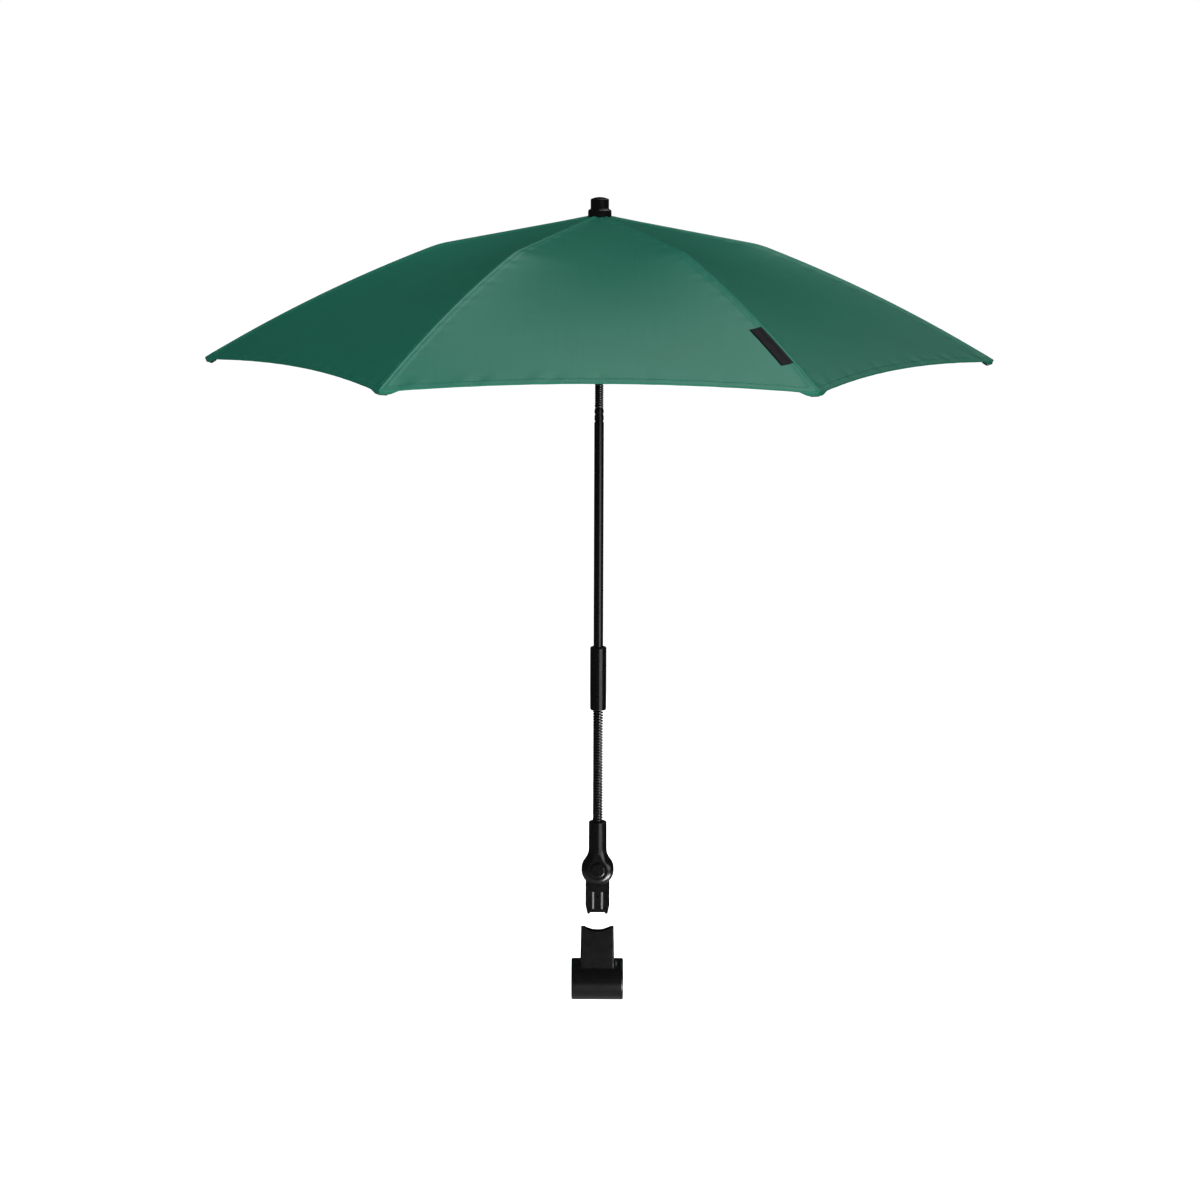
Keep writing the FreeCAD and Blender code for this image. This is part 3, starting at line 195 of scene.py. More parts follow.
def colour_of(name, description, red, green, blue):
    return FloatVectorProperty(name=name, description=description, subtype="COLOR", size=4, min=0, max=1,
                               default=(red, green, blue, 1))


class CanopySettings(bpy.types.PropertyGroup):
    """Cut, seams and colour of the canopy."""
    rib_inner: length_of("Inner stretch", "Straight inner stretch of a rib, from its hinge", 0.128)
    rib_angle: angle_of("Inner slope", "Fall of the inner stretch", 10.5)
    kink_radius: length_of("Kink radius", "Bend where the stretcher joins the rib", 0.09)
    kink_angle: angle_of("Kink", "Turn of that bend", 10.5)
    rib_outer: length_of("Outer stretch", "Bowed outer stretch of a rib", 0.2252)
    outer_angle: angle_of("Bow", "Turn of the outer stretch", 10)
    panel_turn: angle_of("Panel arc", "Turn of the smooth arc of the cloth midway between two ribs", 20)
    panel_sag: length_of("Panel sag", "Cloth below that arc in the middle of a panel", 0.001)
    lift: length_of("Lift", "Underside of the cloth above a rib's middle line", 0.0021)
    thickness: length_of("Cloth", "Thickness of the cloth", 0.0005)
    eye: length_of("Eye", "Inner edge of the cloth from the pole's middle", 0.0092)
    corner_over: length_of("Corner", "Corner of the cloth past a rib's end", 0.003)
    scallop: length_of("Scallop", "Hem drawn in midway between two corners", 0.012)
    blunt: length_of("Blunt corner", "Half width of the straight end of a corner", 0.009)
    hem_lip: length_of("Hem lip", "Turned edge of the hem", 0.0006)
    pocket_lip: length_of("Pocket", "Depth of the pocket that holds a rib's end", 0.0034)
    seam_ridge: length_of("Seam ridge", "Height of the fold along a seam", 0.0005)
    seam_band: length_of("Seam band", "Half width of the felled seam", 0.0045)
    pucker: length_of("Pucker", "Waves that the sewing draws into the cloth", 0.00022)
    stitch_length: length_of("Stitch", "Length of one stitch", 0.0023)
    stitch_step: length_of("Stitch step", "Start of one stitch to the start of the next", 0.003)
    stitch_width: length_of("Thread", "Thickness of the sewing thread", 0.0004)
    cloth_colour: colour_of("Cloth colour", "Colour of the cloth", 0.0105, 0.108, 0.07)
    thread_colour: colour_of("Thread colour", "Colour of the sewing thread", 0.02, 0.14, 0.095)


class LabelSettings(bpy.types.PropertyGroup):
    """The bare woven label beside one seam."""
    length: length_of("Length", "Label along the seam", 0.056)
    width: length_of("Width", "Label across the seam", 0.012)
    rise: length_of("Rise", "Lower end above the cloth's corner", 0.039)
    inset: length_of("Inset", "Edge from the middle of the seam", 0.0012)
    lean: length_of("Lean", "Far edge lower down than the edge at the seam", 0.004)
    thickness: length_of("Thickness", "Thickness of the label", 0.0006)
    colour: colour_of("Label colour", "Colour of the woven label", 0.006, 0.006, 0.007)


class WireSettings(bpy.types.PropertyGroup):
    """Gooseneck and springs."""
    goose_turns: value_of("Gooseneck turns", "Turns of the gooseneck's wire", 41.6)
    goose_wire: length_of("Gooseneck wire", "Thickness of that wire", 0.002)
    tilt_turns: value_of("Tilt spring turns", "Turns of the tilt spring", 14)
    tilt_wire: length_of("Tilt spring wire", "Thickness of that wire", 0.00205)
    lock_turns: value_of("Lock spring turns", "Turns of the lock spring", 2.5)
    lock_wire: length_of("Lock spring wire", "Thickness of that wire", 0.0006)
    core_radius: length_of("Core", "Soft core inside the gooseneck", 0.0025)
    turn_points: IntProperty(name="Turn points", description="Points of one turn of wire", default=28)


class FinishSettings(bpy.types.PropertyGroup):
    """Colours of the hard pieces, and where the plug's rails lie."""
    rail_spread: length_of("Rail spread", "Middle of a guide rail from the middle of the plug", 0.0041)
    rail_half: length_of("Rail half width", "Half the width of a guide rail", 0.0011)
    rail_low: length_of("Rail foot", "Foot of the rails above the plug's end", 0.0046)
    rail_high: length_of("Rail top", "Top of the rails above the plug's end", 0.021)
    plastic: colour_of("Plastic", "Moulded black plastic", 0.002, 0.002, 0.002)
    # Pale grey on the guide rails is a painted highlight, standing in for their shine.
    rail_highlight: colour_of("Rubbed plastic", "Guide rails, rubbed pale in their socket", 0.12, 0.12, 0.12)
    coating: colour_of("Coating", "Black coating of the pole, ribs and wire", 0.002, 0.002, 0.002)
    steel: colour_of("Steel", "Plain steel", 0.5, 0.5, 0.51)
    rubber: colour_of("Rubber", "Liner of the clip and core of the gooseneck", 0.012, 0.012, 0.012)


class StageSettings(bpy.types.PropertyGroup):
    """Camera, lamps and floor; lamps are in watts."""
    camera: FloatVectorProperty(
        name="Camera", description="Place of the camera", subtype="TRANSLATION", size=3,
        default=(0.0014, -2.921, 0.8285))
    camera_pitch: angle_of("Pitch", "Camera below the horizon", 9.1)
    camera_roll: angle_of("Roll", "Camera's turn about its own line of sight", 0.2)
    lens: value_of("Lens", "Focal length of the camera in millimetres", 96.18)
    floor_level: length_of("Floor", "Height of the floor", -0.35)
    floor_size: length_of("Floor size", "Width of the floor", 40.0)
    key_power: value_of("Key", "Power of the large front lamp", 165.0)
    fill_power: value_of("Fill", "Power of the left lamp", 6.0)
    top_power: value_of("Top", "Power of the upper lamp", 10.0)
    back_power: value_of("Back", "Power of the rear lamp", 60.0)
    sheen_power: value_of("Sheen", "Power of the lamp mirrored in the cloth", 21.5)
    rim_power: value_of("Rim", "Power of the lamp mirrored in the right panels", 2.6)
    side_power: value_of("Side", "Power of the right lamp", 9.0)
    low_power: value_of("Low", "Power of the low right lamp", 11.0)
    strip_power: value_of("Strip", "Power of the lamp mirrored in the wound wires", 240.0)
    ambient: value_of("Ambient", "Light from all round", 0.12)


# Shader groups and finishes

class NodeSketch:
    """Adds and links nodes of one tree."""

    def __init__(self, tree):
        self.tree = tree

    def add(self, kind, inputs=None, **settings):
        node = self.tree.nodes.new(kind)
        for name, value in settings.items():
            setattr(node, name, value)
        for name, value in (inputs or {}).items():
            self.give(node.inputs[name], value)
        return node

    def make(self, kind, inputs=None, **settings):
        """The first output of a new node."""
        return self.add(kind, inputs, **settings).outputs[0]

    def give(self, socket, value):
        if isinstance(value, bpy.types.NodeSocket):
            self.tree.links.new(value, socket)
        else:
            socket.default_value = value

    def math(self, operation, first, second=0.0):
        node = self.tree.nodes.new("ShaderNodeMath")
        node.operation = operation
        self.give(node.inputs[0], first)
        self.give(node.inputs[1], second)
        return node.outputs[0]

    def remap(self, value, low, high, to_low, to_high):
        node = self.add("ShaderNodeMapRange", {
            "Value": value, "From Min": low, "From Max": high, "To Min": to_low, "To Max": to_high})
        return node.outputs["Result"]

    def noise(self, place, scale, detail):
        node = self.add("ShaderNodeTexNoise", {"Vector": place, "Scale": scale, "Detail": detail})
        return node.outputs["Fac"]

    def shade(self, colour, amount):
        """A colour with its brightness multiplied by a value."""
        return self.make("ShaderNodeHueSaturation", {"Color": colour, "Value": amount})


def new_group(kind, name, inputs, outputs):
    group = bpy.data.node_groups.new(name, kind)
    for label, socket_type, default in inputs:
        socket = group.interface.new_socket(label, in_out="INPUT", socket_type=socket_type)
        if default is not None:
            socket.default_value = default
    for label, socket_type in outputs:
        group.interface.new_socket(label, in_out="OUTPUT", socket_type=socket_type)
    sketch = NodeSketch(group)
    return group, sketch, sketch.add("NodeGroupInput").outputs, sketch.add("NodeGroupOutput").inputs


def surface_grain():
    """Fine grain, handling marks and a slow change of tone, on Object coordinates."""
    if "surface_grain" in bpy.data.node_groups:
        return bpy.data.node_groups["surface_grain"]
    slow_scale, mark_scale = 28.0, 160.0
    group, sketch, given, made = new_group(
        "ShaderNodeTree", "surface_grain",
        [("Colour", COLOUR, (0.01, 0.01, 0.01, 1)), ("Grain size", FLOAT, 900.0), ("Tone", FLOAT, 0.15),
         ("Roughness", FLOAT, 0.4), ("Spread", FLOAT, 0.08)],
        [("Colour", COLOUR), ("Roughness", FLOAT), ("Height", FLOAT)])
    place = sketch.add("ShaderNodeTexCoord").outputs["Object"]
    fine = sketch.noise(place, given["Grain size"], detail=2.0)
    slow = sketch.noise(place, slow_scale, detail=4.0)
    marks = sketch.noise(place, mark_scale, detail=5.0)
    tone = sketch.math("ADD", 1.0, sketch.math("MULTIPLY", given["Tone"], sketch.math("SUBTRACT", slow, 0.5)))
    sketch.give(made["Colour"], sketch.shade(given["Colour"], tone))
    wear = sketch.math("MULTIPLY", given["Spread"], sketch.remap(marks, 0.3, 0.7, -1.0, 1.0))
    sketch.give(made["Roughness"], sketch.math("ADD", given["Roughness"], wear))
    sketch.give(made["Height"], fine)
    return group


def plain_weave():
    """Crossing threads with uneven yarn, on the cloth's own map in metres."""
    if "plain_weave" in bpy.data.node_groups:
        return bpy.data.node_groups["plain_weave"]
    yarn_fine, yarn_long, cloud_scale = 420.0, 9.0, 14.0
    yarn_height, rough_spread = 0.6, 0.1
    group, sketch, given, made = new_group(
        "ShaderNodeTree", "plain_weave",
        [("Colour", COLOUR, (0.01, 0.1, 0.06, 1)), ("Threads", FLOAT, 2400.0), ("Yarn tone", FLOAT, 0.12),
         ("Roughness", FLOAT, 0.55)],
        [("Colour", COLOUR), ("Roughness", FLOAT), ("Height", FLOAT)])
    place = sketch.add("ShaderNodeTexCoord").outputs["UV"]
    split = sketch.add("ShaderNodeSeparateXYZ", {"Vector": place}).outputs
    turn = sketch.math("MULTIPLY", given["Threads"], math.pi)
    across = sketch.math("SINE", sketch.math("MULTIPLY", split["X"], turn))
    along = sketch.math("SINE", sketch.math("MULTIPLY", split["Y"], turn))
    over = sketch.math("MULTIPLY", across, along)
    warp = sketch.make("ShaderNodeMapping", {"Vector": place, "Scale": (yarn_fine, yarn_long, 1.0)})
    weft = sketch.make("ShaderNodeMapping", {"Vector": place, "Scale": (yarn_long, yarn_fine, 1.0)})
    yarn = sketch.math("ADD", sketch.noise(warp, 1.0, detail=2.0), sketch.noise(weft, 1.0, detail=2.0))
    cloudy = sketch.math("SUBTRACT", sketch.noise(place, cloud_scale, detail=3.0), 0.5)
    mixed = sketch.math("ADD", sketch.math("SUBTRACT", yarn, 1.0), cloudy)
    tone = sketch.math("ADD", 1.0, sketch.math("MULTIPLY", given["Yarn tone"], mixed))
    sketch.give(made["Colour"], sketch.shade(given["Colour"], tone))
    sketch.give(made["Roughness"], sketch.math(
        "ADD", given["Roughness"], sketch.math("MULTIPLY", cloudy, rough_spread)))
    sketch.give(made["Height"], sketch.math("ADD", over, sketch.math("MULTIPLY", yarn, yarn_height)))
    return group


def wound_turns():
    """A wound wire painted lighter and shinier on its crests, with painted shade between its turns."""
    if "wound_turns" in bpy.data.node_groups:
        return bpy.data.node_groups["wound_turns"]
    rough_spread = 0.1
    group, sketch, given, made = new_group(
        "ShaderNodeTree", "wound_turns",
        [("Colour", COLOUR, (0.01, 0.01, 0.01, 1)), ("Grain size", FLOAT, 2600.0), ("Roughness", FLOAT, 0.2),
         ("Crest tone", FLOAT, 2.0), ("Crest shine", FLOAT, 0.5)],
        [("Colour", COLOUR), ("Roughness", FLOAT), ("Height", FLOAT), ("Shine", FLOAT)])
    crest = sketch.add("ShaderNodeAttribute", attribute_name=CREST).outputs["Fac"]
    share = sketch.remap(crest, CREST_START, CREST_FULL, 0.0, 1.0)
    # Crests lighter than the grooves: painted shade between the turns.
    sketch.give(made["Colour"], sketch.shade(
        given["Colour"], sketch.remap(share, 0.0, 1.0, 1.0, given["Crest tone"])))
    grain = sketch.noise(sketch.add("ShaderNodeTexCoord").outputs["Object"], given["Grain size"], detail=2.0)
    spread = sketch.math("MULTIPLY", sketch.math("SUBTRACT", grain, 0.5), rough_spread)
    sketch.give(made["Roughness"], sketch.math("ADD", given["Roughness"], spread))
    sketch.give(made["Height"], grain)
    # Shine only on the crests: painted shade in the grooves' reflections.
    sketch.give(made["Shine"], sketch.math("MULTIPLY", given["Crest shine"], share))
    return group


def finish(name, group, values, shader, strength, depth):
    """A material whose colour, roughness and relief come from a shader group."""
    if name in bpy.data.materials:
        return bpy.data.materials[name]
    material = bpy.data.materials.new(name)
    material.use_nodes = True
    sketch = NodeSketch(material.node_tree)
    surface = material.node_tree.nodes["Principled BSDF"].inputs
    pattern = sketch.add("ShaderNodeGroup", node_tree=group)
    for label, value in values.items():
        pattern.inputs[label].default_value = value
    relief = sketch.make("ShaderNodeBump", {
        "Height": pattern.outputs["Height"], "Strength": strength, "Distance": depth})
    sketch.give(surface["Base Color"], pattern.outputs["Colour"])
    sketch.give(surface["Roughness"], pattern.outputs["Roughness"])
    sketch.give(surface["Normal"], relief)
    if "Shine" in pattern.outputs:
        sketch.give(surface["Specular IOR Level"], pattern.outputs["Shine"])
    for label, value in shader.items():
        surface[label].default_value = value
    return material


def grained(name, colour, grain, tone, roughness, spread, strength, depth, shine=0.5, metallic=0.0):
    """A finish with a fine grain."""
    values = {"Colour": colour, "Grain size": grain, "Tone": tone, "Roughness": roughness, "Spread": spread}
    shader = {"Specular IOR Level": shine, "Metallic": metallic}
    return finish(name, surface_grain(), values, shader, strength, depth)


def canopy_cloth(scene):
    return finish("canopy_cloth", plain_weave(),
                  {"Colour": scene.parasol_canopy.cloth_colour, "Threads": 2400.0, "Yarn tone": 0.12,
                   "Roughness": 0.52},
                  {"Specular IOR Level": 0.0, "Coat Weight": 0.15, "Coat Roughness": 0.35, "Coat IOR": 3.5},
                  strength=0.12, depth=0.08 * MM)


def label_cloth(scene):
    return finish("label_cloth", plain_weave(),
                  {"Colour": scene.parasol_label.colour, "Threads": 3200.0, "Yarn tone": 0.4,
                   "Roughness": 0.5},
                  {"Specular IOR Level": 0.1}, strength=0.25, depth=0.08 * MM)


def sewing_thread(scene):
    return grained("sewing_thread", scene.parasol_canopy.thread_colour, grain=4000.0, tone=0.25,
                   roughness=0.5, spread=0.08, strength=0.2, depth=0.05 * MM, shine=0.1)


def moulded_plastic(scene):
    return grained("moulded_plastic", scene.parasol_finish.plastic, grain=1400.0, tone=0.25, roughness=0.22,
                   spread=0.04, strength=0.08, depth=0.1 * MM)


# The guide rails' pale finish: a painted highlight.
def rubbed_plastic(scene):
    return grained("rubbed_plastic", scene.parasol_finish.rail_highlight, grain=2200.0, tone=0.5, roughness=0.4,
                   spread=0.08, strength=0.1, depth=0.1 * MM)


def black_coating(scene):
    return grained("black_coating", scene.parasol_finish.coating, grain=2200.0, tone=0.2, roughness=0.22,
                   spread=0.04, strength=0.06, depth=0.06 * MM, shine=0.4)


def coated_wire(scene):
    # The gooseneck wire's crests are lighter and shinier than its grooves: painted shade between the turns.
    return finish("coated_wire", wound_turns(),
                  {"Colour": scene.parasol_finish.coating, "Grain size": 2600.0, "Roughness": 0.2,
                   "Crest tone": 2.0, "Crest shine": 0.35}, {}, strength=0.05, depth=0.05 * MM)


def dull_wire(scene):
    return grained("dull_wire", scene.parasol_finish.coating, grain=2600.0, tone=0.3, roughness=0.34,
                   spread=0.08, strength=0.05, depth=0.05 * MM, shine=0.2)


def plain_steel(scene):
    return grained("plain_steel", scene.parasol_finish.steel, grain=1800.0, tone=0.2, roughness=0.3,
                   spread=0.08, strength=0.05, depth=0.05 * MM, metallic=1.0)


def soft_rubber(scene):
    return grained("soft_rubber", scene.parasol_finish.rubber, grain=1100.0, tone=0.3, roughness=0.72,
                   spread=0.1, strength=0.2, depth=0.1 * MM, shine=0.1)


SLOT_FINISHES = {
    "black_plastic": moulded_plastic, "black_metal": black_coating, "steel": plain_steel,
    "black_rubber": soft_rubber, "green_fabric": canopy_cloth, "black_label": label_cloth,
}


# Mesh helpers

def link_new(name, data):
    """A new object in the scene."""
    made = bpy.data.objects.new(name, data)
    bpy.context.scene.collection.objects.link(made)
    return made


def add_piece(name, mesh, material, body=None, stands_for=()):
    """Links a finished mesh as a piece that rides on a body."""
    mesh.name = name
    piece = link_new(name, mesh)
    if material is not None:
        mesh.materials.clear()
        mesh.materials.append(material)
    if body:
        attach(piece, body)
    if stands_for:
        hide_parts(*stands_for)
    return piece


def shell(name, under, over, map_left, map_right):
    """A thin closed sheet between two grids of points, smooth on its faces and sharp round its edge.
    map_left and map_right are the cloth's map on either side of the middle column."""
    rows, columns = under.shape[:2]
    index = np.arange(rows * columns).reshape(rows, columns)
    top = index + rows * columns

    def quads(grid):
        return np.stack([grid[:-1, :-1], grid[:-1, 1:], grid[1:, 1:], grid[1:, :-1]], -1).reshape(-1, 4)

    left = np.arange(columns - 1) < (columns - 1) // 2
    side = np.tile(left, rows - 1)[:, None, None]
    flat_left, flat_right = (m.reshape(-1, 2)[quads(index)] for m in (map_left, map_right))
    face_map = np.where(side, flat_left, flat_right)
    loop = np.concatenate([index[0, :-1], index[:-1, -1], index[-1, :0:-1], index[:0:-1, 0]])
    after = np.roll(loop, -1)
    wall = np.stack([loop, after, after + rows * columns, loop + rows * columns], -1)
    wall_map = map_left.reshape(-1, 2)[np.stack([loop, after, after, loop], -1)]
    faces = np.concatenate([quads(top)[:, ::-1], quads(index), wall[:, ::-1]])
    maps = np.concatenate([face_map[:, ::-1], face_map, wall_map[:, ::-1]])
    mesh = bpy.data.meshes.new(name)
    points = np.concatenate([under.reshape(-1, 3), over.reshape(-1, 3)])
    mesh.from_pydata(points.tolist(), [], faces.tolist())
    mesh.uv_layers.new(name="cloth_map").data.foreach_set("uv", maps.astype(np.float32).ravel())
    mesh.polygons.foreach_set("use_smooth", np.ones(len(faces), bool))
    edge_of = {tuple(sorted(edge.vertices)): edge for edge in mesh.edges}
    for a, b in zip(loop.tolist(), after.tolist()):
        for step in (0, rows * columns):
            edge_of[tuple(sorted((a + step, b + step)))].use_edge_sharp = True
    mesh.update()
    return mesh


def through_nodes(name, tree, values, base=None):
    """The plain mesh that a node tree makes, with its named inputs set before it is evaluated."""
    holder = link_new(name + "_maker", base or bpy.data.meshes.new(name + "_base"))
    modifier = holder.modifiers.new("maker", "NODES")
    modifier.node_group = tree
    for socket in tree.interface.items_tree:
        if socket.in_out == "INPUT" and socket.name in values:
            modifier[socket.identifier] = values[socket.name]
    holder.update_tag()
    bpy.context.view_layer.update()
    depsgraph = bpy.context.evaluated_depsgraph_get()
    mesh = bpy.data.meshes.new_from_object(holder.evaluated_get(depsgraph), depsgraph=depsgraph)
    holder.modifiers.remove(modifier)
    bpy.data.objects.remove(holder)
    if not mesh.vertices:
        raise RuntimeError(f"{name} came out empty")
    return mesh


# The canopy's shape

class CanopyShape:
    """Where the cloth lies over one rib, in the rib's own frame: outwards, across and up from the crown."""

    def __init__(self, sizes):
        self.sizes = sizes
        self.crown = HINGE.z
        kink = sizes.kink_radius * sizes.kink_angle
        self.rib_length = sizes.rib_inner + kink + sizes.rib_outer
        self.end = self.rib_length + sizes.corner_over
        self.start = (sizes.eye - (HINGE - MAST).xy.length) / math.cos(sizes.rib_angle)
        steps = np.linspace(self.start, self.end, RIB_STEPS)
        slope = (sizes.rib_angle
                 + sizes.kink_angle * np.clip((steps - sizes.rib_inner) / kink, 0, 1)
                 + sizes.outer_angle * np.clip((steps - sizes.rib_inner - kink) / sizes.rib_outer, 0, 1))
        self.steps = steps
        self.rib = self.walk(slope) + sizes.lift * np.stack([np.sin(slope), np.cos(slope)], -1)
        chord = self.rib[-1] - self.rib[0]
        share = (steps - self.start) / (self.end - self.start)
        arc = self.walk(math.atan2(-chord[1], chord[0]) + sizes.panel_turn * (share - 0.5))
        arc = arc - arc[0] + self.rib[0]
        self.panel = arc + share[:, None] * (self.rib[-1] - arc[-1])
        self.panel[:, 1] -= sizes.panel_sag * 4 * share * (1 - share)

    def walk(self, slope):
        """Reach and height along a line of that slope, which starts at the cloth's eye."""
        step = np.diff(self.steps)
        middle = (slope[1:] + slope[:-1]) / 2
        reach = np.concatenate([[0], np.cumsum(np.cos(middle) * step)]) + self.sizes.eye
        height = np.concatenate([[0], np.cumsum(-np.sin(middle) * step)])
        return np.stack([reach, height - self.start * math.sin(self.sizes.rib_angle)], -1)

    def along(self, line, distance):
        return np.stack([np.interp(distance, self.steps, line[:, n]) for n in (0, 1)], -1)

    def half_width(self, distance):
        """Half of a panel's width at a distance along the rib."""
        return self.along(self.rib, distance)[..., 0] * math.sin(math.radians(30))

    def hem(self, share, half):
        """Distance along the rib at which the hem lies, at a share of the way to the panel's middle."""
        blunt = self.sizes.blunt / half
        past = np.clip((share - blunt) / (1 - blunt), 0, 1)
        return self.end - self.sizes.scallop * (1 - (1 - past) ** 2)

    def points(self, distance, share, side):
        """Points of the cloth's underside, before seams and hems are drawn in."""
        weight = (1 - (1 - share) ** 2)[..., None]
        line = (1 - weight) * self.along(self.rib, distance) + weight * self.along(self.panel, distance)
        reach, height = line[..., 0], line[..., 1]
        return np.stack([reach * (1 - CHORD_IN * share), side * CHORD_ACROSS * reach * share, height], -1)

    def relief(self, distance, away, hem_gap, side):
        """Height of seams, hem, sewing waves and gathers over the plain cloth.
        away is the distance from the seam, and hem_gap the distance from the hem."""
        sizes = self.sizes
        ridge = sizes.seam_ridge * np.exp(-(away / RIDGE_REACH) ** 2)
        band = BAND_RISE * np.clip((sizes.seam_band + BAND_EDGE - away) / BAND_EDGE, 0, 1)
        hem = BAND_RISE * np.clip((HEM_BAND - hem_gap) / BAND_EDGE, 0, 1)
        wave = np.sin(distance / SEAM_WAVES[0] + side) + np.sin(distance / SEAM_WAVES[1] + 2 * side)
        near_seam = np.exp(-(away / SEAM_WAVES_REACH) ** 2) * np.clip(away / SEAM_WAVES_START, 0, 1)
        drawn = sizes.pucker * wave * near_seam
        hem_wave = np.sin(away / HEM_WAVES[0]) + np.sin(away / HEM_WAVES[1] + GOLDEN_TURN)
        hem_drawn = sizes.pucker * hem_wave * np.exp(-((hem_gap - HEM_WAVES_GAP) / HEM_WAVES_REACH) ** 2)
        near_cap = np.exp(-((distance - self.start) / GATHER_REACH) ** 2)
        gather = GATHER_RISE * near_cap * np.sin(away / GATHER_WAVE + side)
        return ridge + np.maximum(band, hem) + drawn + hem_drawn + gather

    def place(self, points, rib):
        """Points of a rib's own frame in the part's frame."""
        turn = 2 * math.pi * (rib - 1) / RIBS
        spun = points.reshape(-1, 3) @ np.array(Matrix.Rotation(turn, 3, "Z")).T
        return (spun + np.array((MAST.x, MAST.y, self.crown))).reshape(points.shape)

    def tangent(self, rib):
        """Direction across a rib."""
        turn = 2 * math.pi * (rib - 1) / RIBS
        return Vector((-math.sin(turn), math.cos(turn), 0))

    def normals(self, points):
        across = np.gradient(points, axis=1)
        down = np.gradient(points, axis=0)
        normal = np.cross(down, across)
        return normal / np.linalg.norm(normal, axis=-1, keepdims=True)


def folds_with_rib(piece, shape, rib):
    """Gives a piece beside a seam its own copy of its mesh; the direction across its rib is found but not
    used.
    """
    across = shape.tangent(rib)
    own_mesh(piece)


def both_sides(left, right):
    """A grid from the far end of the left side, over the seam, to the far end of the right side."""
    return np.concatenate([left[:, :0:-1], right], axis=1)


def cloth_section(shape):
    """Grids of the cloth over one rib, from the middle of one panel to the middle of the next:
    underside, upper side, and the cloth's map left and right of the seam."""
    sizes = shape.sizes
    main = np.linspace(0, 1, PANEL_ROWS, endpoint=False)
    hem_start = HEM_ROWS[0]
    rib_distance = np.concatenate([
        shape.start + main * (shape.end - hem_start - shape.start), shape.end - HEM_ROWS])
    half = shape.half_width(rib_distance)[:, None]
    near = SEAM_COLUMNS[None] * np.minimum(1, half / SEAM_COLUMNS_NEED)
    step = np.linspace(0, 1, PANEL_COLUMNS + 1)[1:][None]
    away = np.concatenate([near, near[:, -1:] + (half - near[:, -1:]) * step], axis=1)
    share = away / half
    hem_at = shape.hem(share, half)
    plain = shape.start + main[:, None] * (hem_at[:PANEL_ROWS] - hem_start - shape.start)
    distance = np.concatenate([plain, hem_at[PANEL_ROWS:] - HEM_ROWS[:, None]])
    halves = []
    for side in (-1, 1):
        points = shape.points(distance, share, side)
        rise = shape.relief(distance, share * shape.half_width(distance), hem_at - distance, side)
        halves.append((points, rise))
    points, rise = (both_sides(left, right) for left, right in zip(*halves))
    points = points + shape.normals(points) * rise[..., None]

    # The turned edge of the hem, deeper where it forms the pocket over a rib's end
    edge_away = np.abs(points[-1, :, 1])
    pocket = np.clip((POCKET_HALF - edge_away) / POCKET_EDGE, 0, 1)
    depth = sizes.hem_lip + (sizes.pocket_lip - sizes.hem_lip) * pocket ** 2 * (3 - 2 * pocket)
    outward = points[-1] - points[-2]
    outward = outward / np.linalg.norm(outward, axis=-1, keepdims=True)
    down = -shape.normals(points)[-1]
    lips = [points[-1] + depth[:, None] * (LIP_OUT_SHARE * math.sin(math.pi / 2 * s) * outward + s * down)
            for s in LIP_SHARES]
    under = np.concatenate([points, np.stack(lips)])
    over = under + shape.normals(under) * sizes.thickness

    rows, across, half_all = (np.concatenate([grid, *([grid[-1:]] * len(LIP_SHARES))])
                              for grid in (distance, share * half, half))
    lip_run = np.concatenate([np.zeros(len(distance)), LIP_SHARES * sizes.hem_lip])[:, None]
    run = both_sides(rows + lip_run, rows + lip_run)
    gap = both_sides(half_all - across, half_all - across)
    return under, over, np.stack([-gap, run], -1), np.stack([gap, run], -1)


def surface_patch(shape, distance, away, side, height):
    """Points at a height over the cloth's upper side, at distances along a rib and away from its seam."""
    half = shape.half_width(distance)
    share = away / half
    hem_gap = shape.hem(share, half) - distance
    base = shape.points(distance, share, side)
    down = shape.points(distance + SMALL_STEP, share, side) - base
    across = shape.points(distance, share + SMALL_STEP / half, side) - base
    normal = side * np.cross(down, across)
    normal = normal / np.linalg.norm(normal, axis=-1, keepdims=True)
    rise = shape.relief(distance, away, hem_gap, side) + shape.sizes.thickness + height
    return base + normal * rise[..., None]


# Node trees for what repeats

def stitch_tree(material):
    """Short threads laid end to end along sewing lines."""
    tree, sketch, given, made = new_group(
        "GeometryNodeTree", "sewn_line",
        [("Lines", GEOMETRY, None), ("Step", FLOAT, 0.003), ("Length", FLOAT, 0.0023),
         ("Thread", FLOAT, 0.0004)],
        [("Geometry", GEOMETRY)])
    curve = sketch.make("GeometryNodeMeshToCurve", {"Mesh": given["Lines"]})
    spots = sketch.add("GeometryNodeCurveToPoints", {"Curve": curve, "Length": given["Step"]}, mode="LENGTH")
    thread = sketch.make("GeometryNodeMeshIcoSphere", {"Radius": 0.5, "Subdivisions": 2})
    size = sketch.make("ShaderNodeCombineXYZ", {
        "X": given["Thread"], "Y": given["Thread"], "Z": given["Length"]})
    laid = sketch.make("GeometryNodeInstanceOnPoints", {
        "Points": spots.outputs["Points"], "Instance": thread, "Rotation": spots.outputs["Rotation"],
        "Scale": size})
    finish_tree(sketch, laid, material, made)
    return tree


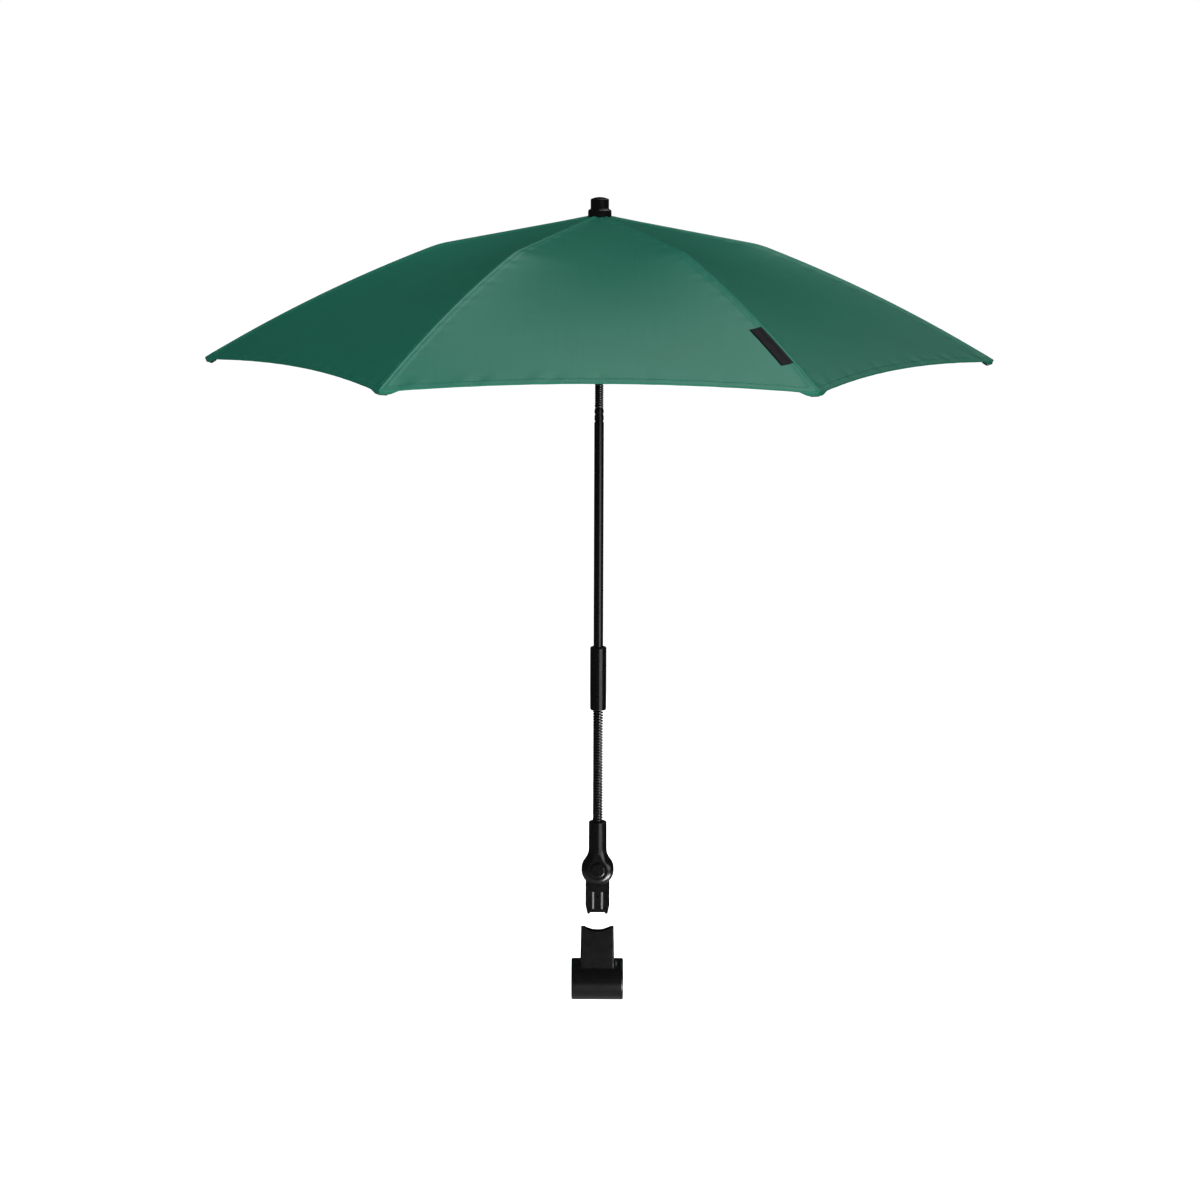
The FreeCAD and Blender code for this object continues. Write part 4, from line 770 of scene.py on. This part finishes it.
def wire_tree(material):
    """A wound wire with closed end turns, its foot at a place, turned by an angle about X."""
    tree, sketch, given, made = new_group(
        "GeometryNodeTree", "wound_wire_" + material.name,
        [("Turns", FLOAT, 10.0), ("Coil radius", FLOAT, 0.004), ("Wire radius", FLOAT, 0.001),
         ("Height", FLOAT, 0.03), ("Turn points", INTEGER, 28), ("Foot", VECTOR, None),
         ("Lean", VECTOR, None)],
        [("Geometry", GEOMETRY)])
    spiral = sketch.make("GeometryNodeCurveSpiral", {
        "Resolution": given["Turn points"], "Rotations": given["Turns"], "Start Radius": given["Coil radius"],
        "End Radius": given["Coil radius"], "Height": given["Height"]})
    section = sketch.make("GeometryNodeCurvePrimitiveCircle", {
        "Resolution": WIRE_SIDES, "Radius": given["Wire radius"]})
    wire = sketch.make("GeometryNodeCurveToMesh", {
        "Curve": spiral, "Profile Curve": section, "Fill Caps": True})
    end = sketch.make("GeometryNodeCurvePrimitiveCircle", {
        "Resolution": given["Turn points"], "Radius": given["Coil radius"]})
    first = sketch.make("GeometryNodeCurveToMesh", {"Curve": end, "Profile Curve": section})
    rise = sketch.make("ShaderNodeCombineXYZ", {"Z": given["Height"]})
    last = sketch.make("GeometryNodeTransform", {"Geometry": first, "Translation": rise})
    whole = sketch.add("GeometryNodeJoinGeometry")
    for stretch in (wire, first, last):
        tree.links.new(stretch, whole.inputs["Geometry"])
    spot = sketch.add("ShaderNodeSeparateXYZ", {"Vector": sketch.make("GeometryNodeInputPosition")}).outputs
    reach = sketch.math("SQRT", sketch.math(
        "ADD", sketch.math("POWER", spot["X"], 2.0), sketch.math("POWER", spot["Y"], 2.0)))
    crest = sketch.math("DIVIDE", sketch.math("SUBTRACT", reach, given["Coil radius"]), given["Wire radius"])
    marked = sketch.make("GeometryNodeStoreNamedAttribute", {
        "Geometry": whole.outputs["Geometry"], "Name": CREST, "Value": crest},
        data_type="FLOAT", domain="POINT")
    placed = sketch.make("GeometryNodeTransform", {
        "Geometry": marked, "Translation": given["Foot"], "Rotation": given["Lean"]})
    finish_tree(sketch, placed, material, made)
    return tree


def core_tree(material):
    """A plain tube with enough rings to bend."""
    tree, sketch, given, made = new_group(
        "GeometryNodeTree", "bending_core",
        [("Foot", VECTOR, None), ("Head", VECTOR, None), ("Radius", FLOAT, 0.002), ("Rings", INTEGER, 60)],
        [("Geometry", GEOMETRY)])
    line = sketch.make("GeometryNodeCurvePrimitiveLine", {"Start": given["Foot"], "End": given["Head"]})
    rings = sketch.make("GeometryNodeResampleCurve", {"Curve": line, "Count": given["Rings"]})
    section = sketch.make("GeometryNodeCurvePrimitiveCircle", {
        "Resolution": CORE_SIDES, "Radius": given["Radius"]})
    tube = sketch.make("GeometryNodeCurveToMesh", {
        "Curve": rings, "Profile Curve": section, "Fill Caps": True})
    finish_tree(sketch, tube, material, made)
    return tree


def finish_tree(sketch, geometry, material, made):
    """Ends a tree with real meshes, smooth shading and a material."""
    real = sketch.make("GeometryNodeRealizeInstances", {"Geometry": geometry})
    smooth = sketch.make("GeometryNodeSetShadeSmooth", {"Geometry": real})
    sketch.give(made["Geometry"], sketch.make("GeometryNodeSetMaterial", {
        "Geometry": smooth, "Material": material}))


def upright_coil(node, material, turns, thickness, turn_points):
    """A wire wound upright in the space of a node, with the middle of its foot and of its head."""
    low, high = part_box(node)
    wire = thickness / 2
    foot, head = (Vector((MAST.x, MAST.y, level)) for level in (low.z, high.z))
    mesh = through_nodes(node, wire_tree(material), {
        "Turns": turns, "Coil radius": (high.y - low.y) / 2 - wire, "Wire radius": wire,
        "Height": high.z - low.z - 2 * wire, "Turn points": turn_points, "Foot": foot + Vector((0, 0, wire))})
    return mesh, foot, head


# Operators

class PARASOL_OT_finishes(bpy.types.Operator):
    """Give every hard piece its finish"""
    bl_idname = "parasol.finishes"
    bl_label = "Finishes"

    def execute(self, context):
        slots = {part["node"]: part["material_slot"] for part in frame["record"]["subparts"]}
        for name, piece in frame["nodes"].items():
            material = SLOT_FINISHES[slots[name]](context.scene)
            if not piece.material_slots:
                piece.data.materials.append(material)
            for slot in piece.material_slots:
                slot.material = material
        self.paint_rail_highlights(frame["nodes"]["plug_body"], context.scene)
        return {"FINISHED"}

    def paint_rail_highlights(self, plug, scene):
        """The two rails in front of the plug get a pale finish, which is a painted highlight."""
        sizes = scene.parasol_finish
        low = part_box("plug_body")[0]
        plug.data.materials.append(rubbed_plastic(scene))
        rail_highlight = len(plug.data.materials) - 1
        for face in plug.data.polygons:
            spot = plug.matrix_world @ face.center
            across = abs(abs(spot.x - BOSS.x) - sizes.rail_spread) < sizes.rail_half
            along = sizes.rail_low < spot.z - low.z < sizes.rail_high
            if across and along and spot.y - low.y < sizes.rail_half:
                face.material_index = rail_highlight


class PARASOL_OT_canopy(bpy.types.Operator):
    """Lay the cloth over the six ribs"""
    bl_idname = "parasol.canopy"
    bl_label = "Canopy"

    def execute(self, context):
        shape = CanopyShape(context.scene.parasol_canopy)
        grids = cloth_section(shape)
        middle = grids[0].shape[1] // 2
        strip = SEAM_COLUMNS[FOLD_COLUMN]
        panel = float(shape.half_width(shape.end)) - strip
        parts = (("left", -1, slice(0, middle - FOLD_COLUMN + 1), panel),
                 ("seam", 0, slice(middle - FOLD_COLUMN, middle + FOLD_COLUMN + 1), 2 * strip),
                 ("right", 1, slice(middle + FOLD_COLUMN, None), panel))
        material = canopy_cloth(context.scene)
        for rib in range(1, RIBS + 1):
            for part, side, columns, width in parts:
                name = f"cloth_{rib}_{part}"
                under, over, left, right = (grid[:, columns] for grid in grids)
                map_left = right if side > 0 else left
                map_right = left if side < 0 else right
                mesh = shell(name, shape.place(under, rib), shape.place(over, rib), map_left, map_right)
                piece = add_piece(name, mesh, material, f"rib_{rib}", [f"canopy_{rib}"])
                if side:
                    folds_with_rib(piece, shape, rib)
        return {"FINISHED"}


class PARASOL_OT_stitching(bpy.types.Operator):
    """Sew the seams and the hem"""
    bl_idname = "parasol.stitching"
    bl_label = "Stitching"

    def execute(self, context):
        sizes = context.scene.parasol_canopy
        shape = CanopyShape(sizes)
        tree = stitch_tree(sewing_thread(context.scene))
        rise = sizes.stitch_width * STITCH_RISE_SHARE
        seam_run = np.linspace(shape.start + SEAM_ROW_START, shape.end - SEAM_ROW_END, SEAM_ROW_POINTS)
        half = shape.half_width(shape.end)
        share = np.linspace(SEAM_COLUMNS[FOLD_COLUMN] / half, 1, HEM_ROW_POINTS)
        hem_run = shape.hem(share, half) - HEM_ROW
        rows = {("seam", 0): [surface_patch(shape, seam_run, np.full_like(seam_run, away), side, rise)
                              for side in (-1, 1) for away in SEAM_ROWS]}
        for part, side in (("left", -1), ("right", 1)):
            rows[part, side] = [surface_patch(shape, hem_run, share * shape.half_width(hem_run), side, rise)]
        for rib in range(1, RIBS + 1):
            for (part, side), lines in rows.items():
                name = f"stitches_{rib}_{part}"
                points, edges = [], []
                for line in lines:
                    first = len(points)
                    points += shape.place(line, rib).tolist()
                    edges += [(n, n + 1) for n in range(first, len(points) - 1)]
                base = bpy.data.meshes.new(name + "_lines")
                base.from_pydata(points, edges, [])
                mesh = through_nodes(name, tree, {
                    "Step": sizes.stitch_step, "Length": sizes.stitch_length,
                    "Thread": sizes.stitch_width}, base)
                piece = add_piece(name, mesh, None, f"rib_{rib}")
                if side:
                    folds_with_rib(piece, shape, rib)
        return {"FINISHED"}


class PARASOL_OT_label(bpy.types.Operator):
    """Sew the bare label beside its seam"""
    bl_idname = "parasol.label"
    bl_label = "Label"

    def execute(self, context):
        sizes = context.scene.parasol_label
        shape = CanopyShape(context.scene.parasol_canopy)
        side = -1
        across = np.linspace(0, 1, LABEL_COLUMNS)[None]
        along = np.linspace(0, 1, LABEL_ROWS)[:, None]
        low = shape.end - sizes.rise - sizes.length
        away = sizes.inset + sizes.width * across + 0 * along
        distance = low + sizes.length * along + sizes.lean * (across - 0.5)
        border = np.minimum(np.minimum(across, 1 - across) * sizes.width,
                            np.minimum(along, 1 - along) * sizes.length)
        crown = sizes.thickness * np.sqrt(np.clip(border / LABEL_EDGE, 0, 1))
        under = surface_patch(shape, distance, away, side, np.zeros_like(distance))
        over = surface_patch(shape, distance, away, side, LABEL_CLEAR + crown)
        label_map = np.stack([away, distance], -1)[:, ::-1]
        mesh = shell("label", shape.place(under, LABEL_RIB)[:, ::-1], shape.place(over, LABEL_RIB)[:, ::-1],
                     label_map, label_map)
        piece = add_piece("woven_label", mesh, label_cloth(context.scene), f"rib_{LABEL_RIB}",
                          ["canopy_label"])
        folds_with_rib(piece, shape, LABEL_RIB)
        return {"FINISHED"}


class PARASOL_OT_gooseneck(bpy.types.Operator):
    """Wind the gooseneck and its core"""
    bl_idname = "parasol.gooseneck"
    bl_label = "Gooseneck"

    def execute(self, context):
        sizes = context.scene.parasol_wire
        coil, foot, head = upright_coil("gooseneck_coil", coated_wire(context.scene), sizes.goose_turns,
                                        sizes.goose_wire, sizes.turn_points)
        core_low, core_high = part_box("gooseneck_core")
        core = through_nodes("gooseneck_core", core_tree(soft_rubber(context.scene)), {
            "Foot": Vector((MAST.x, MAST.y, core_low.z)), "Head": Vector((MAST.x, MAST.y, core_high.z)),
            "Radius": sizes.core_radius})
        for name, mesh, slot, node in (("gooseneck_wire", coil, "black_metal", "gooseneck_coil"),
                                       ("gooseneck_rod", core, "steel", "gooseneck_core")):
            piece = add_piece(name, mesh, None, None, [node])
            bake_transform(piece)
        return {"FINISHED"}


class PARASOL_OT_springs(bpy.types.Operator):
    """Wind the tilt spring and the lock spring"""
    bl_idname = "parasol.springs"
    bl_label = "Springs"

    def execute(self, context):
        sizes = context.scene.parasol_wire
        mesh, foot, head = upright_coil("tilt_spring", dull_wire(context.scene), sizes.tilt_turns,
                                        sizes.tilt_wire, sizes.turn_points)
        tilt = add_piece("tilt_spring_wire", mesh, None, None, ["tilt_spring"])
        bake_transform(tilt)

        low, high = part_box("lock_spring")
        wire = sizes.lock_wire / 2
        mesh = through_nodes("lock_spring", wire_tree(plain_steel(context.scene)), {
            "Turns": sizes.lock_turns, "Coil radius": (high.x - low.x) / 2 - wire, "Wire radius": wire,
            "Height": high.y - low.y - 2 * wire, "Turn points": sizes.turn_points,
            "Foot": Vector((BOSS.x, high.y - wire, BOSS.z)), "Lean": Vector((math.pi / 2, 0, 0))})
        lock = add_piece("lock_spring_wire", mesh, None, "plug", ["lock_spring"])
        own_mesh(lock)
        return {"FINISHED"}


class PARASOL_OT_stage(bpy.types.Operator):
    """Set the floor, the lamps and the camera"""
    bl_idname = "parasol.stage"
    bl_label = "Stage"

    def execute(self, context):
        scene, sizes = context.scene, context.scene.parasol_stage
        scene.view_settings.view_transform = "Standard"
        self.floor(sizes)
        self.room(scene, sizes.ambient)
        self.lamps(scene, sizes)
        camera = link_new("camera", bpy.data.cameras.new("camera"))
        camera.data.lens = sizes.lens
        camera.location = sizes.camera
        camera.rotation_euler = (Matrix.Rotation(math.pi / 2 - sizes.camera_pitch, 3, "X")
                                 @ Matrix.Rotation(sizes.camera_roll, 3, "Z")).to_euler()
        scene.camera = camera
        return {"FINISHED"}

    def lamps(self, scene, sizes):
        """Soft lamps; some only shine in highlights, and three of those are kept to a set of pieces."""
        apart = SOFT_NAMES + WOUND_NAMES
        plain = self.lit_together(scene, "plain_pieces", lambda name: not name.startswith(apart))
        wound = self.lit_together(scene, "wound_pieces", lambda name: name.startswith(WOUND_NAMES))
        kept_to = {"side": plain, "low": plain, "strip": wound}
        for name, (spot, width, height) in LAMPS.items():
            data = bpy.data.lights.new(name + "_lamp", "AREA")
            data.shape = "RECTANGLE"
            data.size, data.size_y = width, height
            data.energy = getattr(sizes, name + "_power")
            lamp = link_new(data.name, data)
            aim = LOW_AIM if name in kept_to else LAMP_AIM
            lamp.location = spot
            lamp.rotation_euler = (aim - Vector(spot)).to_track_quat("-Z", "Y").to_euler()
            lamp.visible_glossy = name in SHINE_LAMPS
            lamp.visible_diffuse = name not in SHINE_LAMPS
            lamp.light_linking.receiver_collection = kept_to.get(name)

    def lit_together(self, scene, name, chosen):
        """A set of pieces that a lamp is kept to."""
        pieces = bpy.data.collections.new(name)
        for piece in scene.objects:
            if piece.type == "MESH" and chosen(piece.name):
                pieces.objects.link(piece)
        return pieces

    def floor(self, sizes):
        half = sizes.floor_size / 2
        corners = ((-half, -half), (half, -half), (half, half), (-half, half))
        mesh = bpy.data.meshes.new("floor")
        mesh.from_pydata([(x, y, sizes.floor_level) for x, y in corners], [], [(0, 1, 2, 3)])
        mesh.materials.append(self.floor_material())
        floor = link_new("floor", mesh)

    def floor_material(self):
        """Pale floor that is white to the camera and dark where it is mirrored, save close to the part."""
        material = bpy.data.materials.new("pale_floor")
        material.use_nodes = True
        sketch = NodeSketch(material.node_tree)
        surface = material.node_tree.nodes["Principled BSDF"].inputs
        surface["Roughness"].default_value = 0.9
        surface["Specular IOR Level"].default_value = 0.0
        surface["Emission Color"].default_value = (1, 1, 1, 1)
        path = sketch.add("ShaderNodeLightPath").outputs
        sketch.give(surface["Base Color"], sketch.shade(
            FLOOR_GREY, sketch.remap(path["Is Glossy Ray"], 0.0, 1.0, 1.0, 0.0)))
        place = sketch.add("ShaderNodeTexCoord").outputs["Object"]
        away = sketch.add("ShaderNodeVectorMath", {"Vector": place}, operation="LENGTH").outputs["Value"]
        mirrored = sketch.math("MULTIPLY", path["Is Glossy Ray"], sketch.remap(
            away, FLOOR_NEAR, FLOOR_FAR, FLOOR_NEAR_MIRRORED, FLOOR_FAR_MIRRORED))
        seen = sketch.math("MAXIMUM", path["Is Camera Ray"],
                           sketch.math("MAXIMUM", mirrored, path["Is Transmission Ray"]))
        sketch.give(surface["Emission Strength"], sketch.math("MULTIPLY", seen, FLOOR_GLOW))
        return material

    def room(self, scene, ambient):
        """White to the camera, dim where it is mirrored, and a soft light elsewhere."""
        world = bpy.data.worlds.new("pale_room")
        world.use_nodes = True
        scene.world = world
        sketch = NodeSketch(world.node_tree)
        path = sketch.add("ShaderNodeLightPath").outputs
        seen = sketch.math("MAXIMUM", path["Is Camera Ray"], path["Is Transmission Ray"])
        around = sketch.remap(path["Is Glossy Ray"], 0.0, 1.0, ambient, ROOM_MIRRORED)
        background = world.node_tree.nodes["Background"].inputs
        background["Color"].default_value = (1, 1, 1, 1)
        sketch.give(background["Strength"], sketch.math("MAXIMUM", seen, around))


class PARASOL_PT_panel(bpy.types.Panel):
    """Lists the steps that dress the parasol"""
    bl_idname = "PARASOL_PT_panel"
    bl_label = "Pram parasol"
    bl_space_type = "VIEW_3D"
    bl_region_type = "UI"
    bl_category = "Parasol"

    def draw(self, context):
        for operator in OPERATORS:
            self.layout.operator(operator.bl_idname)
        for name, settings in SETTINGS.items():
            box = self.layout.box()
            for field in settings.__annotations__:
                box.prop(getattr(context.scene, name), field)


SETTINGS = {
    "parasol_canopy": CanopySettings, "parasol_label": LabelSettings, "parasol_wire": WireSettings,
    "parasol_finish": FinishSettings, "parasol_stage": StageSettings,
}
OPERATORS = (
    PARASOL_OT_finishes, PARASOL_OT_canopy, PARASOL_OT_stitching, PARASOL_OT_label, PARASOL_OT_gooseneck,
    PARASOL_OT_springs, PARASOL_OT_stage,
)


def register():
    for cls in (*SETTINGS.values(), *OPERATORS, PARASOL_PT_panel):
        bpy.utils.register_class(cls)
    for name, settings in SETTINGS.items():
        setattr(bpy.types.Scene, name, PointerProperty(type=settings))


def unregister():
    for name in SETTINGS:
        delattr(bpy.types.Scene, name)
    for cls in (PARASOL_PT_panel, *reversed(OPERATORS), *reversed(SETTINGS.values())):
        bpy.utils.unregister_class(cls)


def main():
    register()
    bpy.ops.parasol.finishes()
    bpy.ops.parasol.canopy()
    bpy.ops.parasol.stitching()
    bpy.ops.parasol.label()
    bpy.ops.parasol.gooseneck()
    bpy.ops.parasol.springs()
    bpy.ops.parasol.stage()
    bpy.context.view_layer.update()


if __name__ == "__main__":
    main()
